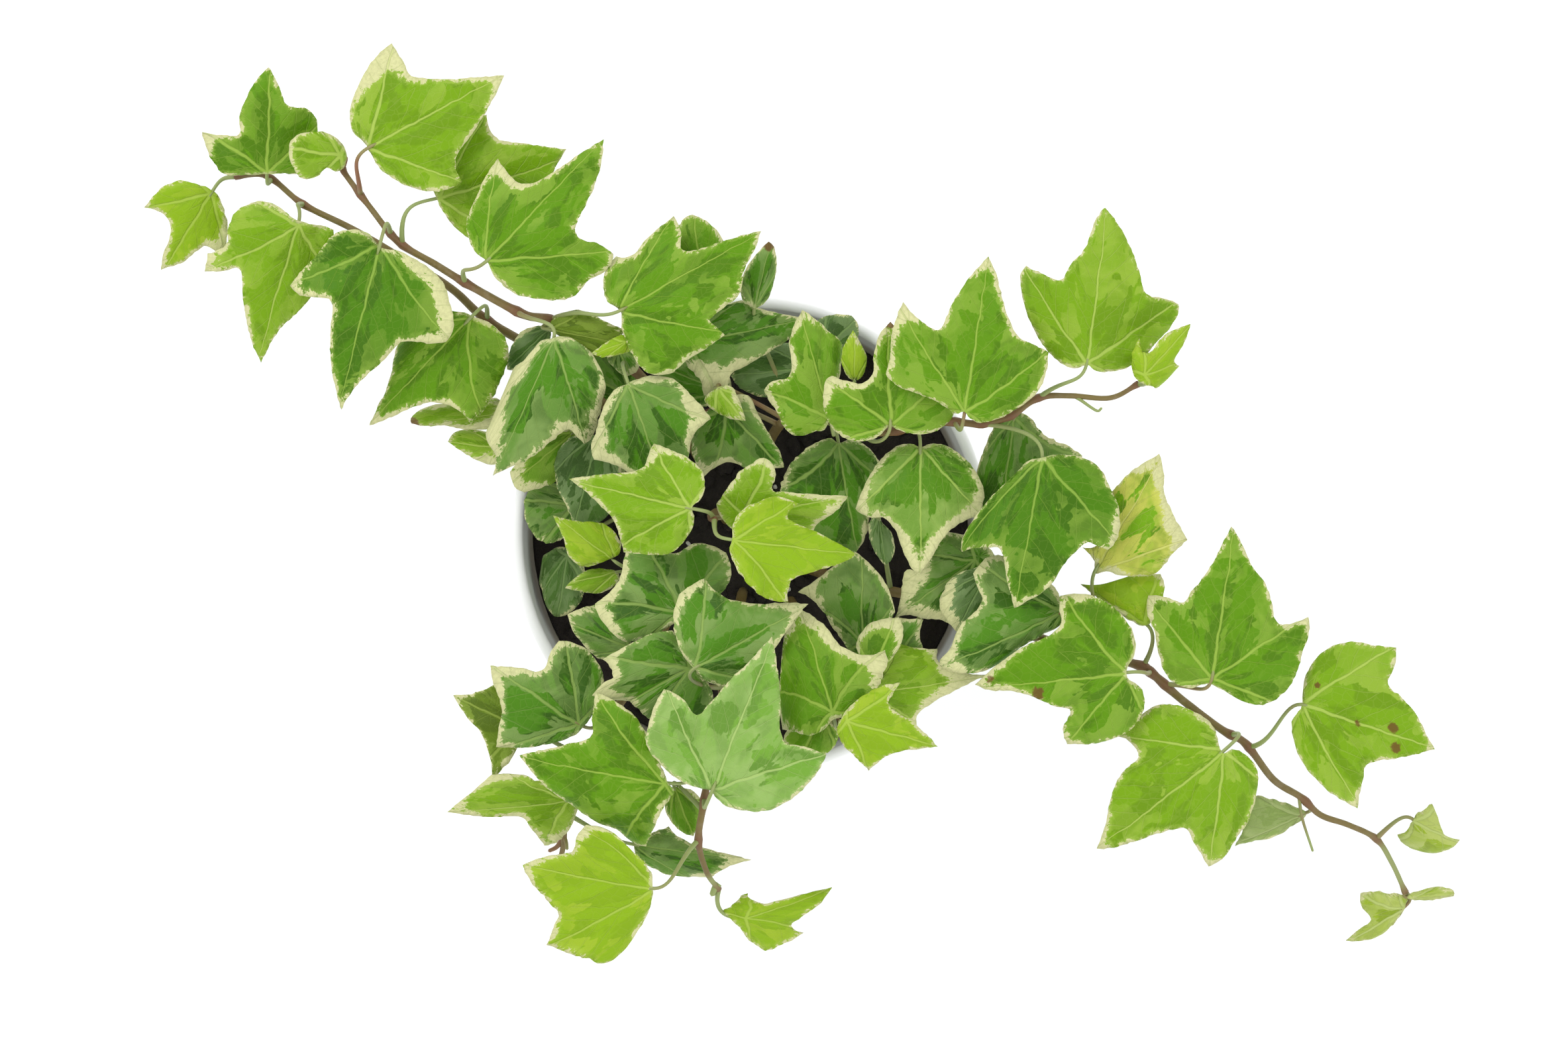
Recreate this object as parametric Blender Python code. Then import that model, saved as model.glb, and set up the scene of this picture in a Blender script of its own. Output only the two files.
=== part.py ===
"""Potted variegated ivy: a round plastic pot, its soil, the rooted shoots and the stalked leaves.

Units in the tables are millimetres. X runs to the plant's right, Y to its back, Z up.
The origin is the centre of the pot's underside, which stands on Z = 0.
Heights in the plant's tables are counted from the pot's rim, so the plant follows the pot's height.
"""

import math
from collections import namedtuple

import bpy
from mathutils import Vector

MM = 0.001
GAP = 0.3  # clearance between pieces that touch

# Pot
RIM_RADIUS = 60.0
BASE_RADIUS = 43.0
POT_HEIGHT = 105.0
POT_WALL = 1.6
POT_FLOOR = 2.4
LIP_WIDTH = 3.0
LIP_HEIGHT = 8.0
LIP_STEP = 1.4
EDGE_ROUND = 0.8
POT_SIDES = 48
DRAIN_HOLES = 6
DRAIN_RADIUS = 4.0
DRAIN_CIRCLE = 28.0
DRAIN_SIDES = 16

# Soil
SOIL_DROP = 15.0  # from the rim down to the soil at the wall
SOIL_MOUND = 2.0  # how much higher the soil is in the middle

# Plant
LEAF_THICKNESS = 0.6
LEAF_DOME = 0.05  # height of a blade's crown, as a share of its length
STALK_WIDTH = 1.4
STALK_STEPS = 6
STALK_DIP = 1.2  # how far a stalk drops below its blade within the notch
STEM_SIDES = 6
STEM_STEPS = 2  # pieces of curve between two points of a stem's route
STEM_BASE_RADIUS = 1.3
STEM_TIP_RADIUS = 0.6

# Colours, linear RGB, and roughness
FINISHES = {
    "pot": ((0.80, 0.80, 0.78), 0.35),
    "soil": ((0.045, 0.030, 0.020), 0.95),
    "stem": ((0.16, 0.085, 0.035), 0.60),
    "leaf_dark": ((0.050, 0.160, 0.030), 0.40),
    "leaf_mid": ((0.100, 0.260, 0.035), 0.40),
    "leaf_light": ((0.200, 0.400, 0.050), 0.42),
    "leaf_lime": ((0.330, 0.520, 0.060), 0.42),
}

# Half of a leaf's outline, from its stalk round to its tip, in shares of the blade's length:
# across the midrib, and along it. The two lists are the shallowest and the deepest lobing.
SIDE_LOBE = (0.56, 0.48)
NOTCH_REACH = 0.18  # how far a stalk runs straight out of its blade's notch
SHALLOW = [
    (0.02, -0.02), (0.16, -0.10), (0.34, -0.11), (0.54, 0.08), (0.59, 0.28),
    SIDE_LOBE, (0.42, 0.56), (0.30, 0.72), (0.13, 0.91),
]
DEEP = [
    (0.02, -0.02), (0.13, -0.08), (0.27, -0.09), (0.44, 0.06), (0.50, 0.26),
    SIDE_LOBE, (0.27, 0.38), (0.23, 0.60), (0.11, 0.87),
]
BLADE_CENTRE = (0.0, 0.12)
INNER_RING = 0.5

# A stem's route from the soil to its tip: (across, back, height above the rim).
# The first point gives only its place on the soil.
STEMS = {
    "back_left_upper_vine": [
        (-12, 18), (-22, 34, 10), (-38, 49, 27), (-50, 54, 33), (-57, 55.5, 34.5), (-70, 62.5, 35),
        (-79, 68, 35), (-88, 73.5, 34), (-95, 82, 32), (-101, 90, 30), (-102, 92, 29.5),
    ],
    "back_left_lower_vine": [
        (-20, 8), (-32, 28, 2), (-50, 44, 14), (-66, 54, 21), (-75, 62, 23), (-88, 70, 23),
        (-100, 77, 22), (-112, 83, 20), (-121, 90, 17), (-129, 90, 14),
    ],
    "back_right_vine": [
        (2, 14), (4, 22, 4), (9, 29, 20), (19, 29.5, 31), (28, 26.5, 35.5), (34, 26, 37), (42, 27.5, 40),
        (50, 28.5, 42), (58, 28, 43), (65, 30, 43.5), (72, 34.5, 43), (80, 35, 42), (90, 34.5, 40),
        (97, 38, 39),
    ],
    "front_right_vine": [
        (14, -8), (26, -12, 2), (45, -16, 12), (62, -22, 19), (80, -28, 23), (96, -32, 25),
        (100, -34, 24.5), (108, -41, 22), (118, -48.5, 18), (124, -52, 15), (131, -61, 10),
        (138, -65.5, 6), (143, -70, 3), (150, -72.5, 0), (157, -76, -4), (161, -82, -9), (164.5, -89.5, -15),
    ],
    "front_vine": [
        (-2, -14), (-4, -24, 8), (-7, -40, 28), (-10, -56, 36), (-11.5, -66, 35), (-13, -76, 30),
        (-11, -84, 23), (-8, -88.5, 18),
    ],
    "front_left_vine": [
        (-14, -8), (-20, -20, 0), (-30, -38, 12), (-40, -52, 14), (-46, -66, 10), (-47, -78, 2),
        (-50, -88, -10),
    ],
    "centre_shoot": [(-6, 4), (-8, 6, 10), (-10, 5, 30), (-9, 4, 48)],
    "front_shoot": [(10, -16), (14, -26, 8), (19, -40, 26), (23.5, -50, 40)],
}

Leaf = namedtuple("Leaf", "name finish lobing base tip left right stem node via", defaults=[None])

# Each leaf by the places of its blade's base, tip and two side lobes (left and right as seen from the
# base towards the tip), and by the place on its stem where its stalk grows. Heights are above the rim.
LEAVES = [
    # The two vines that reach out to the back left.
    Leaf("back_left_leaf_1", "leaf_light", 0.45, (-95.5, 97, 42), (-62, 115, 46), (-89, 123, 44),
         (-71, 88, 42), "back_left_upper_vine", (-97, 85, 31), (-98, 92, 41)),
    Leaf("back_left_leaf_2", "leaf_light", 0.5, (-121, 91, 24), (-120, 117, 28), (-137, 101, 24),
         (-108, 103, 26), "back_left_lower_vine", (-120, 89.3, 17.5)),
    Leaf("back_left_leaf_3", "leaf_light", 0.4, (-102.5, 95, 34), (-117, 97, 37), (-111, 89, 36),
         (-110, 107.5, 36), "back_left_upper_vine", (-102, 92, 29.5)),
    Leaf("back_left_leaf_4", "leaf_lime", 0.6, (-135, 86, 13), (-147, 67, 6), (-131.5, 70.5, 9),
         (-152, 82, 10), "back_left_lower_vine", (-129, 90, 14)),
    Leaf("back_left_leaf_5", "leaf_light", 0.5, (-113, 78, 28), (-123.5, 44, 16), (-103, 62, 22),
         (-137, 66.5, 18), "back_left_lower_vine", (-112, 83, 20), (-115, 83, 29)),
    Leaf("back_left_leaf_6", "leaf_mid", 0.45, (-92.5, 73, 41), (-103, 31.5, 38), (-76, 50, 40),
         (-115, 63, 40), "back_left_upper_vine", (-89.5, 75, 33.5)),
    Leaf("back_left_leaf_7", "leaf_light", 0.5, (-78, 84.5, 36), (-44, 95, 34), (-65, 107, 36),
         (-56, 70, 31), "back_left_upper_vine", (-86.5, 72.5, 34), (-88, 84, 38)),
    Leaf("back_left_leaf_8", "leaf_mid", 0.45, (-66, 68.5, 44), (-37, 99, 46), (-63, 94, 45),
         (-34.5, 71, 44), "back_left_upper_vine", (-71, 63, 35), (-73, 69, 43)),
    Leaf("back_left_leaf_9", "leaf_mid", 0.35, (-70, 54.5, 30), (-95.5, 28, 22), (-67, 29, 26),
         (-86, 50, 26), "back_left_lower_vine", (-66, 54, 21)),
    Leaf("back_left_leaf_10", "leaf_dark", 0.35, (-49, 49.5, 40), (-64, 15, 31), (-41, 23.5, 32),
         (-66.5, 25, 31), "back_left_upper_vine", (-58, 56, 34.6), (-55, 53, 41)),
    # Back of the crown.
    Leaf("back_leaf_1", "leaf_mid", 0.4, (-33, 56, 42), (3, 76, 46), (-19, 80, 44),
         (-8, 51, 44), "back_left_upper_vine", (-50, 54, 33), (-42, 58, 40)),
    Leaf("back_leaf_2", "leaf_dark", 0.5, (-17, 48, 30), (12, 54, 30), (-4, 58, 31),
         (-9, 35.5, 28), "back_left_upper_vine", (-30, 43, 19)),
    Leaf("back_leaf_3", "leaf_mid", 0.3, (20, 29, 38), (12.5, 56, 38), (4, 36, 36),
         (24, 46, 37), "back_right_vine", (20, 29, 31.5), (21, 23, 36)),
    # The vine that reaches out to the back right.
    Leaf("back_right_leaf_1", "leaf_mid", 0.5, (35, 27.5, 46), (34, 54, 47), (19, 39, 45),
         (50, 40, 44), "back_right_vine", (28, 25.5, 34.5), (30, 21.5, 44)),
    Leaf("back_right_leaf_2", "leaf_mid", 0.45, (53.5, 31, 52), (59.5, 70, 56), (37, 57, 54),
         (74.5, 46, 53), "back_right_vine", (51, 28.5, 42.2)),
    Leaf("back_right_leaf_3", "leaf_light", 0.5, (84, 43, 45), (89, 82, 48), (68.5, 67, 46),
         (107, 59, 43), "back_right_vine", (72, 34.5, 43), (79, 40, 46)),
    Leaf("back_right_leaf_4", "leaf_lime", 0.8, (98.5, 40.5, 50), (110, 53, 53), (97.5, 50, 52),
         (107, 43.5, 50), "back_right_vine", (97, 38, 39), (100.5, 37.5, 45)),
    Leaf("back_right_leaf_5", "leaf_dark", 0.45, (73, 19.5, 44), (66, -18, 42), (91.5, -2, 43),
         (53, -3, 43), "back_right_vine", (58, 28, 43), (67, 27, 45)),
    Leaf("back_right_leaf_6", "leaf_dark", 0.3, (42.5, 22, 35), (42.5, -9, 35), (57, 6, 35),
         (27.5, 7, 34), "back_right_vine", (37, 26.5, 38), (42, 28, 34)),
    Leaf("back_right_leaf_7", "leaf_dark", 0.3, (66, 30, 32), (62, -2, 24), (83, 20, 30),
         (57, 18, 28), "back_right_vine", (65, 30, 43.5), (67, 34, 38)),
    Leaf("back_right_leaf_8", "leaf_dark", 0.25, (22, 23.5, 22), (27, -5, 17), (33, 14, 19),
         (8, 12, 18), "back_right_vine", (13, 30, 25)),
    # The long vine that droops to the front right.
    Leaf("front_right_leaf_1", "leaf_dark", 0.3, (86, -9, 31), (103, 20, 36), (88, 12, 32),
         (109, -1, 32), "front_right_vine", (86, -29.5, 23.7), (88, -19, 27)),
    Leaf("front_right_leaf_2", "leaf_lime", 0.2, (99, -22, 28), (82.5, -12, 23), (85, -22, 20),
         (102.5, -9.5, 27), "front_right_vine", (98, -33, 24.8), (101, -28, 27)),
    Leaf("front_right_leaf_3", "leaf_dark", 0.3, (78, -19, 33), (49.5, -32, 34), (62, -35.5, 30),
         (57, -7, 35), "front_right_vine", (79, -27.7, 22.8)),
    Leaf("front_right_leaf_4", "leaf_dark", 0.3, (56, -6, 26), (37, -19.5, 22), (49, -21, 22),
         (41, -4, 25), "front_right_vine", (57, -20.3, 17)),
    Leaf("front_right_leaf_5", "leaf_dark", 0.4, (94, -34, 35), (56.5, -38, 37), (79, -52, 31),
         (79, -15, 39), "front_right_vine", (100, -34, 24.5), (99, -35, 32)),
    Leaf("front_right_leaf_6", "leaf_mid", 0.5, (115.5, -35.5, 31), (121, 3, 34), (99, -15, 31),
         (139.5, -20, 30), "front_right_vine", (104, -37.3, 23.3), (111, -37, 26)),
    Leaf("front_right_leaf_7", "leaf_mid", 0.4, (138, -42, 22), (171, -53, 20), (161, -28, 22),
         (153, -68, 18), "front_right_vine", (124.5, -52.5, 14.7), (132, -52, 18)),
    Leaf("front_right_leaf_8", "leaf_mid", 0.45, (118.5, -53.5, 26), (87, -78, 20), (115, -83, 17),
         (91, -50, 26), "front_right_vine", (120.5, -50, 17)),
    Leaf("front_right_leaf_9", "leaf_lime", 0.2, (138, -70, 1), (122, -77, 3), (132, -76.5, 2),
         (127, -65, 5), "front_right_vine", (139.5, -66.8, 5.1), (141.5, -69.5, 2.5)),
    Leaf("front_right_leaf_10", "leaf_lime", 0.6, (166, -71, -2), (178, -77, -6), (172, -67.5, -2),
         (163, -76, -8), "front_right_vine", (157, -76, -4), (162, -71, -1)),
    Leaf("front_right_leaf_11", "leaf_lime", 0.5, (164, -93.5, -17.5), (150, -102, -22), (162, -99.5, -22),
         (153.5, -90, -18), "front_right_vine", (164.5, -89.5, -15)),
    # Middle of the crown.
    Leaf("centre_leaf_1", "leaf_light", 0.4, (-15, 7, 52), (-45, 14, 46), (-33.5, -3.5, 46),
         (-24, 22.5, 50), "centre_shoot", (-9.5, 4.5, 46)),
    Leaf("centre_leaf_2", "leaf_lime", 0.4, (-4, -1, 56), (26, -4.5, 52), (11, 8.5, 54),
         (8.5, -16, 53), "centre_shoot", (-9, 4, 48)),
    Leaf("centre_leaf_3", "leaf_mid", 0.5, (-2, 5.5, 45), (24, 10, 42), (4, 19.5, 46),
         (15, 0.5, 40), "centre_shoot", (-9.5, 4.7, 38), (-5, 4.5, 40)),
    Leaf("centre_leaf_4", "leaf_dark", 0.3, (-30.5, 38, 38), (-20, 8, 35), (-10, 29, 36),
         (-39.5, 21, 37), "back_left_upper_vine", (-30, 41.5, 18.5), (-33, 45, 35)),
    Leaf("centre_leaf_5", "leaf_dark", 0.4, (-17, -19, 35), (-29, 5, 32), (-39.5, -17, 31),
         (-5, -4, 36), "front_vine", (-4, -24, 8)),
    Leaf("centre_leaf_6", "leaf_dark", 0.35, (-14, -33, 47), (14, -17.5, 46), (-11, -11, 46),
         (5, -37, 45), "front_vine", (-6.5, -37, 25), (-13, -38, 41)),
    Leaf("centre_leaf_7", "leaf_dark", 0.45, (-15.5, -33, 39), (-37, -30, 38), (-42, -48, 33),
         (-21, -22.5, 41), "front_vine", (-5.5, -32, 18.5), (-9, -31, 36)),
    # Front of the crown and the short front vine.
    Leaf("front_leaf_1", "leaf_mid", 0.45, (-9.5, -63.5, 50), (6, -25, 56), (-21, -38, 54),
         (18.5, -54.5, 53), "front_vine", (-11.5, -66, 35)),
    Leaf("front_leaf_2", "leaf_mid", 0.45, (-21, -61.5, 43), (-60.5, -54.5, 40), (-33, -78, 30),
         (-38.5, -39, 41), "front_vine", (-10.5, -58, 36)),
    Leaf("front_leaf_3", "leaf_light", 0.35, (-24, -88, 38), (-57, -82, 36), (-51, -103, 31),
         (-42, -73, 43), "front_vine", (-13, -76, 30), (-19, -82, 35)),
    Leaf("front_leaf_4", "leaf_dark", 0.3, (-30, -77, 17), (0, -80.5, 14), (-17, -70, 17),
         (-15, -86, 12), "front_left_vine", (-46.3, -69, 8.5), (-37, -75, 9)),
    Leaf("front_leaf_5", "leaf_lime", 0.7, (-1.5, -95.5, 12), (20.5, -88.5, 9), (0, -90, 13),
         (13.5, -99.5, 6), "front_vine", (-8, -88.5, 18), (-9.5, -95, 13)),
    Leaf("front_leaf_6", "leaf_dark", 0.35, (-43, -47, 27), (-65, -32, 26), (-64, -53.5, 20),
         (-46, -26.5, 28), "front_left_vine", (-35, -45, 13)),
    Leaf("front_leaf_7", "leaf_mid", 0.4, (-45, -66, 20), (-76, -69, 12), (-51, -78, 13),
         (-60, -60, 18), "front_left_vine", (-44, -60, 12)),
    Leaf("front_leaf_8", "leaf_dark", 0.35, (20.5, -44, 44.5), (11, -14, 40), (8, -39, 43),
         (33, -29, 42), "front_shoot", (20.5, -43.5, 31), (21, -49, 40)),
    Leaf("front_leaf_9", "leaf_light", 0.4, (29, -39.5, 34), (59, -35, 22), (36, -27, 31),
         (42, -48, 27), "front_shoot", (19, -39, 28)),
    Leaf("front_leaf_10", "leaf_lime", 0.8, (24, -46, 51), (47, -52.5, 47), (37, -37, 51),
         (29.5, -58.5, 47), "front_shoot", (23.5, -50, 40), (23, -49, 50)),
    Leaf("front_leaf_11", "leaf_dark", 0.2, (28, -27, 26), (28, -4, 25), (17, -18, 26),
         (35, -18, 27), "front_shoot", (14, -26, 8)),
]


def clear_scene():
    for obj in list(bpy.data.objects):
        bpy.data.objects.remove(obj)


def make_materials():
    made = {}
    for name, (colour, roughness) in FINISHES.items():
        material = bpy.data.materials.new(name)
        material.use_nodes = True
        shader = material.node_tree.nodes["Principled BSDF"]
        shader.inputs["Base Color"].default_value = (*colour, 1)
        shader.inputs["Roughness"].default_value = roughness
        shader.inputs["Metallic"].default_value = 0
        made[name] = material
    return made


def add_object(name, points, faces, material):
    """An object whose mesh has these points, given in millimetres."""
    mesh = bpy.data.meshes.new(name)
    mesh.from_pydata([Vector(p) * MM for p in points], [], faces)
    mesh.materials.append(material)
    obj = bpy.data.objects.new(name, mesh)
    bpy.context.scene.collection.objects.link(obj)
    return obj


def turned(name, profile, sides, material):
    """A solid turned about Z. The profile (radius, height) starts and ends on the axis, outer side first."""
    rings = len(profile) - 2
    points = [(0, 0, profile[0][1])]
    for radius, height in profile[1:-1]:
        for k in range(sides):
            turn = 2 * math.pi * k / sides
            points.append((radius * math.cos(turn), radius * math.sin(turn), height))
    points.append((0, 0, profile[-1][1]))
    last = len(points) - 1
    faces = []
    for k in range(sides):
        following = (k + 1) % sides
        faces.append((0, 1 + following, 1 + k))
        for ring in range(rings - 1):
            low, high = 1 + ring * sides, 1 + (ring + 1) * sides
            faces.append((low + k, low + following, high + following, high + k))
        top = 1 + (rings - 1) * sides
        faces.append((top + k, top + following, last))
    obj = add_object(name, points, faces, material)
    obj.data.shade_smooth()
    obj.data.set_sharp_from_angle(angle=math.radians(35))
    return obj


def inner_radius(height):
    """The radius of the pot's inner wall at a height."""
    base, top = BASE_RADIUS - POT_WALL, RIM_RADIUS - LIP_WIDTH
    return base + (top - base) * (height - POT_FLOOR) / (POT_HEIGHT - POT_FLOOR)


def make_pot(materials):
    lip_bottom = POT_HEIGHT - LIP_HEIGHT
    wall_top = RIM_RADIUS - LIP_STEP
    under_lip = BASE_RADIUS + (wall_top - BASE_RADIUS) * lip_bottom / POT_HEIGHT
    top_edge = POT_HEIGHT - EDGE_ROUND
    profile = [
        (0, 0),
        (BASE_RADIUS - EDGE_ROUND, 0),
        (BASE_RADIUS, EDGE_ROUND),
        (under_lip, lip_bottom),
        (RIM_RADIUS - EDGE_ROUND / 2, lip_bottom),
        (RIM_RADIUS, lip_bottom + EDGE_ROUND / 2),
        (RIM_RADIUS, top_edge),
        (RIM_RADIUS - EDGE_ROUND, POT_HEIGHT),
        (RIM_RADIUS - LIP_WIDTH + EDGE_ROUND, POT_HEIGHT),
        (inner_radius(top_edge), top_edge),
        (inner_radius(POT_FLOOR), POT_FLOOR),
        (0, POT_FLOOR),
    ]
    pot = turned("pot", profile, POT_SIDES, materials["pot"])
    for k in range(DRAIN_HOLES):
        turn = 2 * math.pi * (k / DRAIN_HOLES + 0.5 / POT_SIDES)  # each hole starts in the middle of a facet
        cutter = drain_cutter(DRAIN_CIRCLE * math.cos(turn), DRAIN_CIRCLE * math.sin(turn), k)
        cut = pot.modifiers.new(cutter.name, "BOOLEAN")
        cut.operation = "DIFFERENCE"
        cut.object = cutter


def drain_cutter(x, y, number):
    """A guide that cuts one drainage hole through the pot's floor."""
    bpy.ops.mesh.primitive_cylinder_add(
        vertices=DRAIN_SIDES,
        radius=DRAIN_RADIUS * MM,
        depth=3 * POT_FLOOR * MM,
        location=(x * MM, y * MM, POT_FLOOR / 2 * MM),
    )
    cutter = bpy.context.object
    cutter.name = f"drain_cutter_{number}"
    cutter.hide_render = True
    cutter.display_type = "WIRE"
    return cutter


def soil_height(distance):
    """Height of the soil's surface at a distance from the pot's axis."""
    edge = inner_radius(POT_HEIGHT - SOIL_DROP)
    return POT_HEIGHT - SOIL_DROP + SOIL_MOUND * (1 - (distance / edge) ** 2)


def make_soil(materials):
    bottom = POT_FLOOR + GAP
    edge = inner_radius(POT_HEIGHT - SOIL_DROP) - GAP
    rings = [edge, 0.75 * edge, 0.4 * edge]
    profile = [(0, bottom), (inner_radius(bottom) - GAP, bottom)]
    profile += [(radius, soil_height(radius)) for radius in rings]
    profile.append((0, soil_height(0)))
    turned("soil", profile, POT_SIDES, materials["soil"])


def curve_through(points, steps):
    """Points along a smooth curve (Catmull-Rom) that passes through all the given ones."""
    route = [2 * points[0] - points[1], *points, 2 * points[-1] - points[-2]]
    made = []
    for a, b, c, d in zip(route, route[1:], route[2:], route[3:]):
        for k in range(steps):
            t = k / steps
            made.append(
                0.5 * (2 * b + (c - a) * t + (2 * a - 5 * b + 4 * c - d) * t * t
                       + (3 * b - a - 3 * c + d) * t ** 3)
            )
    made.append(points[-1])
    return made


def above_rim(place):
    return Vector((place[0], place[1], POT_HEIGHT + place[2]))


def stem_route(name):
    """The centreline of a stem, from just above the soil to its tip."""
    (x, y), *rest = STEMS[name]
    foot = Vector((x, y, soil_height(math.hypot(x, y)) + GAP))
    return curve_through([foot, *map(above_rim, rest)], STEM_STEPS)


def stem_radius(share):
    """A stem's radius, share 0 at the soil and 1 at its tip."""
    return STEM_BASE_RADIUS + (STEM_TIP_RADIUS - STEM_BASE_RADIUS) * share


def make_stem(name, materials):
    route = stem_route(name)
    ahead = (route[1] - route[0]).normalized()
    across = ahead.orthogonal().normalized()
    points = []
    for k, centre in enumerate(route):
        onward = (route[min(k + 1, len(route) - 1)] - route[max(k - 1, 0)]).normalized()
        across = ahead.rotation_difference(onward) @ across
        ahead = onward
        if k == 0:  # the foot stands flat on the soil
            ahead, across = Vector((0, 0, 1)), Vector((1, 0, 0))
        radius = stem_radius(k / (len(route) - 1))
        side = ahead.cross(across)
        for j in range(STEM_SIDES):
            turn = 2 * math.pi * j / STEM_SIDES
            points.append(centre + radius * (math.cos(turn) * across + math.sin(turn) * side))
    faces = [tuple(reversed(range(STEM_SIDES)))]
    for k in range(len(route) - 1):
        for j in range(STEM_SIDES):
            a, b = k * STEM_SIDES + j, k * STEM_SIDES + (j + 1) % STEM_SIDES
            faces.append((a, b, b + STEM_SIDES, a + STEM_SIDES))
    faces.append(tuple(range(len(points) - STEM_SIDES, len(points))))
    obj = add_object(name, points, faces, materials["stem"])
    obj.data.shade_smooth()


def outline(lobing):
    """The leaf's whole outline in shares of its length, anticlockwise from the right of the stalk."""
    half = [
        ((1 - lobing) * a + lobing * c, (1 - lobing) * b + lobing * d)
        for (a, b), (c, d) in zip(SHALLOW, DEEP)
    ]
    return [*half, (0, 1), *[(-u, v) for u, v in reversed(half)]]


def blade_of(leaf):
    """A function from a place in the outline to the blade's middle surface, and its right, ahead and up."""
    base, tip = above_rim(leaf.base), above_rim(leaf.tip)
    left, right = above_rim(leaf.left), above_rim(leaf.right)
    u0, v0 = SIDE_LOBE
    ahead = tip - base
    across = (right - left) / (2 * u0)
    bend = ((left + right) / 2 - base - v0 * ahead) / u0**2
    up = across.cross(ahead).normalized()
    dome = LEAF_DOME * ahead.length

    def surface(u, v):
        crown = 1 - (u / u0) ** 2 - ((v - 0.4) / 0.6) ** 2
        return base + u * across + v * ahead + u * u * bend + dome * crown * up

    return surface, across.normalized(), ahead.normalized(), up


def nearest_on_stem(name, place):
    """The point of a stem's centreline nearest to a place, the stem's heading and radius, and if it's the tip."""
    route = stem_route(name)
    found = []
    for k, (a, b) in enumerate(zip(route, route[1:])):
        along = b - a
        share = min(max((place - a).dot(along) / along.length_squared, 0), 1)
        point = a + share * along
        radius = stem_radius((k + share) / (len(route) - 1))
        is_tip = k == len(route) - 2 and share == 1
        found.append(((point - place).length, point, along.normalized(), radius, is_tip))
    return min(found, key=lambda entry: entry[0])[1:]


def stalk_route(leaf, start, ahead, up):
    """Points from the blade's base out of its notch, then along a curve by the leaf's via point to the stem."""
    node, heading, radius, is_tip = nearest_on_stem(leaf.stem, above_rim(leaf.node))
    reach = (node - start).length
    length = (above_rim(leaf.tip) - above_rim(leaf.base)).length
    leave = start - NOTCH_REACH * length * ahead - STALK_DIP * up
    bend = above_rim(leaf.via) if leaf.via else leave - 0.3 * reach * up
    outward = bend - node
    clear = GAP + 0.75 * STALK_WIDTH
    if not is_tip:  # a stalk leaves the side of its stem square to it
        outward -= outward.dot(heading) * heading
        clear += radius
    end = node + clear * outward.normalized()
    made = []
    for k in range(1, STALK_STEPS + 1):
        t = k / STALK_STEPS
        s = 1 - t
        made.append(s**3 * start + 3 * s * s * t * leave + 3 * s * t * t * bend + t**3 * end)
    return made


def make_leaf(leaf, materials):
    surface, right, ahead, up = blade_of(leaf)
    edge = outline(leaf.lobing)
    cu, cv = BLADE_CENTRE
    inner = [(cu + INNER_RING * (u - cu), cv + INNER_RING * (v - cv)) for u, v in edge]
    places = [BLADE_CENTRE, *inner, *edge]
    half = up * LEAF_THICKNESS / 2
    points = [surface(u, v) + half for u, v in places] + [surface(u, v) - half for u, v in places]
    count, under = len(edge), len(places)
    faces = []
    for k in range(count):
        following = (k + 1) % count
        a, b = 1 + k, 1 + following
        c, d = a + count, b + count
        faces += [(0, a, b), (a, c, d), (a, d, b)]
        faces += [(under, b + under, a + under), (a + under, d + under, c + under), (a + under, b + under, d + under)]
        if following:
            faces.append((c + under, d + under, d, c))
    # The stalk grows out of the open side between the outline's last and first points.
    first, last = 1 + count, 2 * count
    ring = [last + under, first + under, first, last]
    start = sum((points[k] for k in ring), Vector()) / 4
    heading, sideways, width = -ahead, right, STALK_WIDTH / 2
    before = start
    for centre in stalk_route(leaf, start, ahead, up):
        onward = (centre - before).normalized()
        sideways = heading.rotation_difference(onward) @ sideways
        heading, before = onward, centre
        upwards = heading.cross(sideways)
        new = [len(points) + k for k in range(4)]
        points += [
            centre - width * sideways - width * upwards,
            centre + width * sideways - width * upwards,
            centre + width * sideways + width * upwards,
            centre - width * sideways + width * upwards,
        ]
        faces += [(ring[k], ring[(k + 1) % 4], new[(k + 1) % 4], new[k]) for k in range(4)]
        ring = new
    faces.append(tuple(ring))
    obj = add_object(leaf.name, points, faces, materials[leaf.finish])
    obj.data.shade_smooth()
    obj.data.set_sharp_from_angle(angle=math.radians(50))


def main():
    clear_scene()
    materials = make_materials()
    make_pot(materials)
    make_soil(materials)
    for name in STEMS:
        make_stem(name, materials)
    for leaf in LEAVES:
        make_leaf(leaf, materials)


main()
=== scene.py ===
"""Potted variegated ivy, seen from above: fine leaves, stalks, stems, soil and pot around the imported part."""

import math
from collections import namedtuple

import bmesh
import bpy
import numpy as np
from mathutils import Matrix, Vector, geometry, noise


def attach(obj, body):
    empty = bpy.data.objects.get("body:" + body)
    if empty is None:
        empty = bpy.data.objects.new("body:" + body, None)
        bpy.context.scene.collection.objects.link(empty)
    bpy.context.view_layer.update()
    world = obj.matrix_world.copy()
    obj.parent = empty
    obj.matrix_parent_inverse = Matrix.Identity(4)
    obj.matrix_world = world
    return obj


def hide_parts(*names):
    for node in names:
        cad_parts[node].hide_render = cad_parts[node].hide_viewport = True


MM = 0.001
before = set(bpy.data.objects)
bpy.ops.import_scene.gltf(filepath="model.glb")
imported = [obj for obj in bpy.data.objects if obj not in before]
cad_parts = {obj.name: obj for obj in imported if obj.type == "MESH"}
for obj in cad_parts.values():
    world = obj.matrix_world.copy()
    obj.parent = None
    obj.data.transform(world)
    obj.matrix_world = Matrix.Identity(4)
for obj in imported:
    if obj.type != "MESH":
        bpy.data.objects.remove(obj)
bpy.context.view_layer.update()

# Pot, in millimetres
RIM_RADIUS = 60.0
BASE_RADIUS = 43.0
POT_HEIGHT = 105.0
POT_WALL = 1.6
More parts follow.
